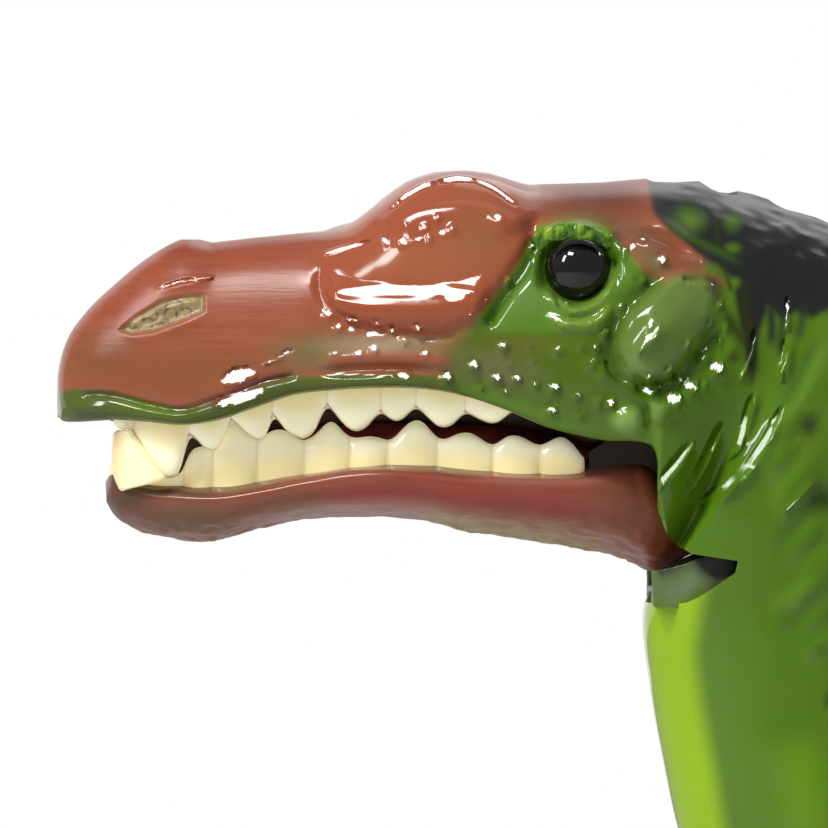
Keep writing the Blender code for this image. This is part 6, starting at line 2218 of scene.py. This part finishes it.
def limb_grid(sections: tuple, ring: tuple, step: float, columns: int, plane: float) -> np.ndarray:
    """Whole rings along a limb whose sections are given in millimetres.

    Args:
        sections: Rear x and z, front x and z, half width.
        ring: Half of a cross-section.
        step: The distance between rings, in metres.
        columns: How many points half a ring has.
        plane: The y of the limb's middle.

    Returns:
        Points by ring, place and axis.
    """
    rows = np.array(sections, float)[:, :5] * MM
    turns = (chord(rows[:, 0:2]) + chord(rows[:, 2:4])) / 2
    values = spline(turns, rows, np.linspace(0, turns[-1], max(8, int(turns[-1] / step))))
    shape = Ladder.shape(ring, columns, True)
    width = np.maximum(values[:, 4:5], 0.0)
    x = values[:, 0:1] + (values[:, 2:3] - values[:, 0:1]) * shape[:, 0]
    z = values[:, 1:2] + (values[:, 3:4] - values[:, 1:2]) * shape[:, 0]
    half = np.stack((x, width * shape[:, 1], z), axis=2)
    other = half[:, ::-1][:, 1:-1] * np.array([1.0, -1.0, 1.0])
    grid = np.concatenate((half, other), axis=1)
    grid[:, :, 1] += plane
    return grid


def limb_paint(thing: bpy.types.Object, wrinkle: float, dark_side: float) -> None:
    """Fold, pattern and finish a green limb, with painted shade in the fold valleys.

    Args:
        thing: The limb.
        wrinkle: The height of its folds, in metres.
        dark_side: How strong its black stripes are.
    """
    points, normals = mesh_points(thing), mesh_normals(thing)
    slanted = points * np.array([0.5, 0.5, 1.6])
    folds = 1 - np.abs(GRAIN.cloud(slanted, 0.008, 3)) * 2
    lumps = GRAIN.cloud(points, 0.0025, 2)
    set_points(thing, points + normals * (folds * wrinkle + lumps * wrinkle * 0.35 - wrinkle)[:, None])
    wavy = GRAIN.cloud(points, 0.011, 3)
    colours = flood(GREEN, len(points))
    patches = smooth_step(0.0, 0.5, GRAIN.cloud(points + 3.0, 0.016, 3))[:, None]
    tint(colours, (106, 145, 16), patches)
    stripes = np.sin(points[:, 2] * 420 + points[:, 0] * 160 + wavy * 2.8)
    dark = (smooth_step(0.5, 0.8, stripes) * dark_side)[:, None]
    tint(colours, BLACK_GREEN, dark)
    # Painted shade: darker green in the fold valleys.
    painted_fold_shade = smooth_step(0.35, -0.3, folds)[:, None] * 0.35
    tint(colours, DARK_GREEN, painted_fold_shade)
    coat(thing, colours, 0.6, 60, SKIN)


def claw(base: Vector, tip: Vector, radius: float) -> bpy.types.Object:
    """A curved pointed claw from its base to its tip.

    Args:
        base: Where it starts.
        tip: Where it ends.
        radius: Its thickness at the base, halved.

    Returns:
        The object.
    """
    reach = tip - base
    deselect_all()
    bpy.ops.mesh.primitive_cone_add(vertices=20, radius1=radius, radius2=radius * 0.1, depth=1.0)
    thing = bpy.context.object
    bpy.ops.object.mode_set(mode="EDIT")
    bpy.ops.mesh.select_all(action="SELECT")
    bpy.ops.mesh.subdivide(number_cuts=6, smoothness=0.0)
    bpy.ops.object.mode_set(mode="OBJECT")
    turn = Vector((0, 0, 1)).rotation_difference(reach.normalized()).to_matrix()
    for vertex in thing.data.vertices:
        share = vertex.co.z + 0.5
        across = turn @ Vector((vertex.co.x, vertex.co.y, 0))
        bend = Vector((0, 0, 1)) * (math.sin(share * math.pi) * reach.length * 0.12)
        vertex.co = base + reach * share + across * (1 - 0.25 * share ** 2) + bend
    fix_normals(thing)
    return thing


@dataclass
class Leg:
    """A thigh and shin with a three-toed foot."""

    plane: float = 0.038
    sections: tuple = (
        (-17.71, 148.97, -28.64, 149.99, 0.00), (-8.19, 145.03, -38.67, 146.94, 6.24),
        (-2.22, 136.02, -46.67, 139.95, 9.60), (0.32, 123.06, -52.26, 129.03, 11.40),
        (-1.71, 109.98, -55.69, 116.97, 12.00), (-9.71, 97.54, -58.23, 105.03, 11.76),
        (-19.75, 87.50, -59.75, 94.49, 10.92), (-24.70, 80.01, -59.24, 84.46, 10.20),
        (-23.18, 75.44, -55.69, 75.06, 9.60), (-19.75, 71.50, -49.72, 67.06, 9.00),
        (-15.17, 66.55, -42.73, 59.94, 8.28), (-10.22, 59.56, -35.75, 53.47, 7.56),
        (-6.67, 51.56, -30.67, 46.99, 7.08), (-6.16, 43.05, -28.26, 40.51, 6.84),
        (-9.71, 35.05, -29.14, 33.53, 6.72), (-14.67, 27.05, -32.70, 26.54, 6.84),
        (-18.73, 19.05, -36.64, 19.94, 7.20), (-21.14, 11.94, -40.70, 13.97, 7.68))
    ankle: tuple = ((-21.1, 13.6, -40.7, 15.6, 7.7), (-20.4, 9.6, -43.0, 11.0, 9.0),
                    (-19.46, 6.6, -45.74, 7.9, 10.2), (-18.34, 3.1, -47.98, 3.6, 12.0),
                    (-18.9, 0.05, -47.4, 0.05, 11.9))
    toe_root: float = -0.03286
    toes: tuple = ((-24, 0.037, 0.0049), (0, 0.0448, 0.0056), (24, 0.037, 0.0049))
    toe_rings: tuple = ((0.0, 0.80, 0.50), (0.16, 1.05, 0.62), (0.34, 0.90, 0.55), (0.50, 1.0, 0.60),
                        (0.66, 0.80, 0.50), (0.74, 0.62, 0.46), (0.80, 0.50, 0.44))

    def build(self, side: Side) -> None:
        """Make one leg, its foot and its claws.

        Args:
            side: Which flank.
        """
        plane = side.value * self.plane
        body = side.label + "_leg"
        thigh = tube("leg_skin_" + side.label, limb_grid(self.sections, LIMB_RING, 0.0009, 44, plane))
        limb_paint(thigh, 0.00030, 0.9)
        hand_over(thigh, body, "leg", "leg_%s_inner" % side.label, "leg_%s_outer" % side.label)
        self.foot(side, plane, body)

    def foot(self, side: Side, plane: float, body: str) -> None:
        """Make the foot as one skin, and its claws.

        Args:
            side: Which flank.
            plane: The y of the leg's middle, in metres.
            body: The body that it rides on.
        """
        things = [tube("ankle", limb_grid(self.ankle, LIMB_RING, 0.001, 24, plane))]
        claws = []
        for degrees, reach, radius in self.toes:
            rings = []
            turn = Matrix.Rotation(math.radians(degrees), 3, "Z")
            for share, width, height in self.toe_rings:
                ring = []
                for step in range(24):
                    angle = math.tau * step / 24
                    local = Vector((-share * reach, width * radius * math.cos(angle),
                                    height * radius * 1.05 + width * radius * math.sin(angle)))
                    place = turn @ local + Vector((self.toe_root, plane, 0))
                    ring.append((place.x, place.y, max(place.z, 0.0002)))
                rings.append(ring)
            things.append(tube("toe", np.array(rings)))
            base = turn @ Vector((-reach * 0.76, 0, radius * 0.62)) + Vector((self.toe_root, plane, 0))
            tip = turn @ Vector((-reach * 0.995, 0, radius * 0.16)) + Vector((self.toe_root, plane, 0))
            claws.append(claw(base, tip, radius * 0.46))
        foot = join("foot_skin_" + side.label, things)
        apply_modifier(foot, "REMESH", mode="VOXEL", voxel_size=0.0006)
        apply_modifier(foot, "SMOOTH", factor=0.6, iterations=6)
        limb_paint(foot, 0.00016, 0.6)
        points = mesh_points(foot)
        points[:, 2] = np.maximum(points[:, 2], 0.0)
        set_points(foot, points)
        hand_over(foot, body, "leg", "foot_" + side.label)
        nails = join("foot_claws_" + side.label, claws)
        smooth(nails, 60)
        dress(nails, CLAW.material())
        hand_over(nails, body, "leg")


@dataclass
class Arm:
    """A short arm with two clawed fingers, turning on its shoulder disc."""

    length: float = 0.044
    thick: float = 0.0088
    shoulder: tuple[float, float] = (-0.1107, 0.146968)
    plane: float = 0.026642
    face: float = 0.021742
    path: tuple = ((0.0, 0.10, 0.40), (0.02, -0.02, 0.52), (0.10, -0.20, 0.48), (0.14, -0.36, 0.40),
                   (0.06, -0.49, 0.36), (-0.10, -0.56, 0.32), (-0.26, -0.62, 0.29), (-0.36, -0.66, 0.33),
                   (-0.44, -0.70, 0.28))
    fingers: tuple = (-24, 4)
    droop: float = 22

    def build(self, side: Side) -> None:
        """Make one arm and its claws.

        Args:
            side: Which flank.
        """
        values = swept(self.path, 46)
        centres = np.stack((self.shoulder[0] + values[:, 0] * self.length,
                            self.shoulder[1] + values[:, 1] * self.length), axis=1)
        run = np.gradient(centres, axis=0)
        run /= np.linalg.norm(run, axis=1, keepdims=True)
        across = np.stack((-run[:, 1], run[:, 0]), axis=1)
        radius = values[:, 2] * self.thick
        ring = []
        for step in range(28):
            angle = math.tau * step / 28
            offset = across * (radius * math.cos(angle))[:, None]
            ring.append(np.stack((centres[:, 0] + offset[:, 0],
                                  side.value * self.plane + radius * math.sin(angle),
                                  centres[:, 1] + offset[:, 1]), axis=1))
        things = [tube("upper_arm", np.stack(ring, axis=1))]
        start = Vector((self.shoulder[0] - 0.40 * self.length, side.value * self.plane,
                        self.shoulder[1] - 0.68 * self.length))
        claws = []
        for degrees in self.fingers:
            turn = Matrix.Rotation(math.radians(degrees), 3, "Z") @ Matrix.Rotation(
                math.radians(-90 - self.droop), 3, "Y")
            way = turn @ Vector((0, 0, 1))
            deselect_all()
            middle = start + way * 0.0035
            bpy.ops.mesh.primitive_cylinder_add(vertices=16, radius=0.0015, depth=0.009, location=middle,
                                                rotation=way.to_track_quat("Z", "Y").to_euler())
            things.append(bpy.context.object)
            settle(things[-1])
            claws.append(claw(start + way * 0.0066, start + way * 0.0112, 0.00125))
        arm = join("arm_skin_" + side.label, things)
        apply_modifier(arm, "REMESH", mode="VOXEL", voxel_size=0.00045)
        apply_modifier(arm, "SMOOTH", factor=0.6, iterations=4)
        limb_paint(arm, 0.00014, 0.5)
        hand_over(arm, side.label + "_arm", "leg", "arm_" + side.label)
        nails = join("arm_claws_" + side.label, claws)
        smooth(nails, 60)
        dress(nails, CLAW.material())
        hand_over(nails, side.label + "_arm", "leg")


@dataclass
class Tail:
    """The tapering tail, striped like the back."""

    sections: tuple = (
        (15.73, 145.50, 12.87, 115.50, 14.50), (28.38, 142.56, 26.34, 116.55, 12.79),
        (43.27, 139.56, 41.84, 117.06, 11.19), (60.20, 136.05, 59.38, 116.55, 9.80),
        (78.36, 132.54, 77.34, 115.56, 8.50), (98.35, 129.06, 97.33, 114.54, 7.31),
        (120.38, 126.06, 119.36, 114.06, 6.09), (143.23, 124.05, 142.21, 114.24, 4.99),
        (166.28, 123.54, 165.26, 115.86, 3.89), (188.31, 124.56, 187.29, 119.04, 2.81),
        (206.26, 126.54, 205.86, 123.36, 1.71), (218.30, 129.00, 218.30, 127.50, 0.64))

    def build(self) -> None:
        """Make the tail with its knobs and its seam."""
        thing = tube("tail_skin", limb_grid(self.sections, CLOSED, 0.0009, 44, 0.0))
        points, normals = mesh_points(thing), mesh_normals(thing)
        slanted = points @ np.array([[1.4, 0, -0.5], [0, 0.4, 0], [0.2, 0, 0.5]]).T
        folds = 1 - np.abs(GRAIN.cloud(slanted, 0.008, 3)) * 2
        up = smooth_step(0.5, 0.9, normals[:, 2])
        lift = (folds - 1) * 0.00028 + up * GRAIN.cloud(points, 0.003, 2) * 0.0002
        seam = np.exp(-(points[:, 1] / 0.0004) ** 2) * (np.abs(normals[:, 1]) < 0.5)
        lift -= seam * 0.0003
        inner = smooth_step(0.018, 0.022, points[:, 0])
        set_points(thing, points + normals * (lift * inner)[:, None])
        colours = body_paint(points, PHOTO.pixels(points))
        coat(thing, colours, 0.6, 60, SKIN)
        hand_over(thing, "tail", "tail", "tail_left", "tail_right")


@dataclass
class Bearings:
    """Raised collars that the hips and shoulders turn on."""

    hips: tuple = (-0.0247, 0.127, 0.0112, 0.0065, 0.0257, 0.0064)
    shoulders: tuple = (-0.1107, 0.146968, 0.0062, 0.0037, 0.021742, 0.0048)

    def build(self, side: Side) -> None:
        """Make both collars of one flank.

        Args:
            side: Which flank.
        """
        for label, (x, z, radius, bore, face, depth) in (("hip", self.hips), ("shoulder", self.shoulders)):
            deselect_all()
            bpy.ops.mesh.primitive_cylinder_add(vertices=64, radius=radius, depth=depth,
                                                location=(x, side.value * (face - depth / 2), z),
                                                rotation=(math.pi / 2, 0, 0))
            thing = bpy.context.object
            thing.name = thing.data.name = "%s_collar_%s" % (label, side.label)
            settle(thing)
            deselect_all()
            bpy.ops.mesh.primitive_cylinder_add(vertices=48, radius=bore, depth=depth * 3,
                                                location=(x, side.value * face, z),
                                                rotation=(math.pi / 2, 0, 0))
            tool = bpy.context.object
            settle(tool)
            apply_modifier(thing, "BOOLEAN", object=tool, operation="DIFFERENCE", solver="MANIFOLD")
            bpy.data.objects.remove(tool, do_unlink=True)
            apply_modifier(thing, "BEVEL", width=0.0005, segments=3, limit_method="ANGLE")
            points = mesh_points(thing)
            coat(thing, flood((78, 108, 46), len(points)), 0.5, 40, SKIN)
            hand_over(thing, "trunk", "skin")


# Kept solids
def dress_kept_nodes() -> None:
    """Give the screws, washers, jaw pin and spool their finishes."""
    finishes = (("screw", STEEL), ("jaw_pin", STEEL), ("washer", NYLON), ("spool", NYLON))
    for name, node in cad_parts.items():
        for word, finish in finishes:
            if word in name:
                for slot in node.material_slots:
                    slot.link = "OBJECT"
                    slot.material = finish.material()


# Studio
@dataclass(frozen=True)
class Softbox:
    """A lamp aimed at the head."""

    name: str
    azimuth: float
    elevation: float
    distance: float
    width: float
    height: float
    radiance: float
    colour: Colour = (1.0, 1.0, 1.0)

    def build(self, target: Vector) -> None:
        """Hang the lamp and turn it to its target.

        Args:
            target: The place that the lamp looks at.
        """
        side, rise = math.radians(self.azimuth), math.radians(self.elevation)
        way = Vector((math.sin(side) * math.cos(rise), -math.cos(side) * math.cos(rise), math.sin(rise)))
        deselect_all()
        bpy.ops.object.light_add(type="AREA", location=target + way * self.distance)
        lamp = bpy.context.object
        lamp.name = self.name
        lamp.data.shape = "RECTANGLE"
        lamp.data.size, lamp.data.size_y = self.width, self.height
        lamp.data.energy = self.radiance * self.width * self.height * math.pi
        lamp.data.color = self.colour
        lamp.rotation_mode = "QUATERNION"
        lamp.rotation_quaternion = way.to_track_quat("Z", "Y")


@dataclass
class Studio:
    """The floor, the white backdrop, the lamps and the camera."""

    floor_radius: float = 3.0
    backdrop_distance: float = 8.5
    ambient: float = 0.34
    sensor: float = 36.0
    softboxes: tuple[Softbox, ...] = (
        Softbox("key_softbox", -39, 52, 1.2, 0.34, 0.20, 40.0),
        Softbox("left_strip", -58, 33, 1.2, 0.17, 0.42, 26.0),
        Softbox("rear_softbox", 100, 36, 1.2, 0.16, 0.12, 14.0),
        Softbox("overhead_softbox", 20, 82, 1.2, 0.9, 0.35, 0.8),
        Softbox("back_fill", 160, 45, 1.6, 0.9, 0.9, 1.0),
    )

    def build(self) -> None:
        """Set everything round the figure."""
        self.floor()
        self.backdrop()
        self.world()
        x, z = PHOTO.centre
        for softbox in self.softboxes:
            softbox.build(Vector((x, 0, z)))
        self.camera()
        bpy.context.scene.view_settings.view_transform = "Standard"

    def floor(self) -> None:
        """A plain pale floor under the soles."""
        deselect_all()
        bpy.ops.mesh.primitive_circle_add(vertices=96, radius=self.floor_radius, fill_type="NGON")
        floor = bpy.context.object
        floor.name = "floor"
        material = bpy.data.materials.new("pale_floor")
        material.use_nodes = True
        shader = material.node_tree.nodes["Principled BSDF"]
        nodes = Nodes(material.node_tree)
        place = nodes.add("ShaderNodeTexCoord").outputs["Object"]
        tone = nodes.ramp(nodes.noise(place, 3, 2), 0.3, 0.7, 0.74, 0.78)
        grey = nodes.add("ShaderNodeCombineColor")
        for socket in grey.inputs[:3]:
            nodes.link(tone, socket)
        nodes.link(grey.outputs[0], shader.inputs["Base Color"])
        shader.inputs["Roughness"].default_value = 0.8
        dress(floor, material)

    def backdrop(self) -> None:
        """A wall that shows white to the camera and in gloss and glass."""
        deselect_all()
        bpy.ops.mesh.primitive_plane_add(size=1, location=(0, self.backdrop_distance, 2),
                                         rotation=(math.pi / 2, 0, 0))
        wall = bpy.context.object
        wall.name = "backdrop"
        wall.scale = (24, 14, 1)
        material = bpy.data.materials.new("white_backdrop")
        material.use_nodes = True
        nodes = Nodes(material.node_tree)
        material.node_tree.nodes.clear()
        path = nodes.add("ShaderNodeLightPath")
        seen = nodes.math("MAXIMUM", nodes.math("MAXIMUM", path.outputs["Is Camera Ray"],
                                                path.outputs["Is Glossy Ray"]),
                          path.outputs["Is Transmission Ray"])
        plain = nodes.add("ShaderNodeBsdfDiffuse")
        plain.inputs["Color"].default_value = (0.8, 0.8, 0.8, 1)
        white = nodes.add("ShaderNodeEmission")
        mix = nodes.add("ShaderNodeMixShader")
        nodes.link(seen, mix.inputs[0])
        nodes.link(plain.outputs[0], mix.inputs[1])
        nodes.link(white.outputs[0], mix.inputs[2])
        nodes.link(mix.outputs[0], nodes.add("ShaderNodeOutputMaterial").inputs[0])
        dress(wall, material)

    def world(self) -> None:
        """Even light from all round."""
        world = bpy.data.worlds.new("studio_world")
        bpy.context.scene.world = world
        world.use_nodes = True
        background = world.node_tree.nodes["Background"]
        background.inputs["Color"].default_value = (1, 1, 1, 1)
        background.inputs["Strength"].default_value = self.ambient

    def camera(self) -> None:
        """The camera, square on to the left flank."""
        x, z = PHOTO.centre
        deselect_all()
        bpy.ops.object.camera_add(location=(x, -PHOTO.distance, z), rotation=(math.pi / 2, 0, 0))
        camera = bpy.context.object
        camera.data.sensor_width = self.sensor
        camera.data.lens = self.sensor * PHOTO.distance / (2 * PHOTO.middle * PHOTO.pixel)
        bpy.context.scene.camera = camera


def main() -> None:
    """Build the figure piece by piece, then the studio round it."""
    logging.basicConfig(level=logging.INFO, format="%(name)s: %(message)s")
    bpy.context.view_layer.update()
    BodySkin().build()
    for side in Side:
        Eye().build(side)
        Brow().build(side)
        Leg().build(side)
        Arm().build(side)
        Bearings().build(side)
        Tusk().build(side)
    UPPER_ROW.build()
    LOWER_ROW.build()
    Throat().build()
    LowerJaw().build()
    Mouth().build()
    Tail().build()
    dress_kept_nodes()
    Studio().build()
    deselect_all()


if __name__ == "__main__":
    main()
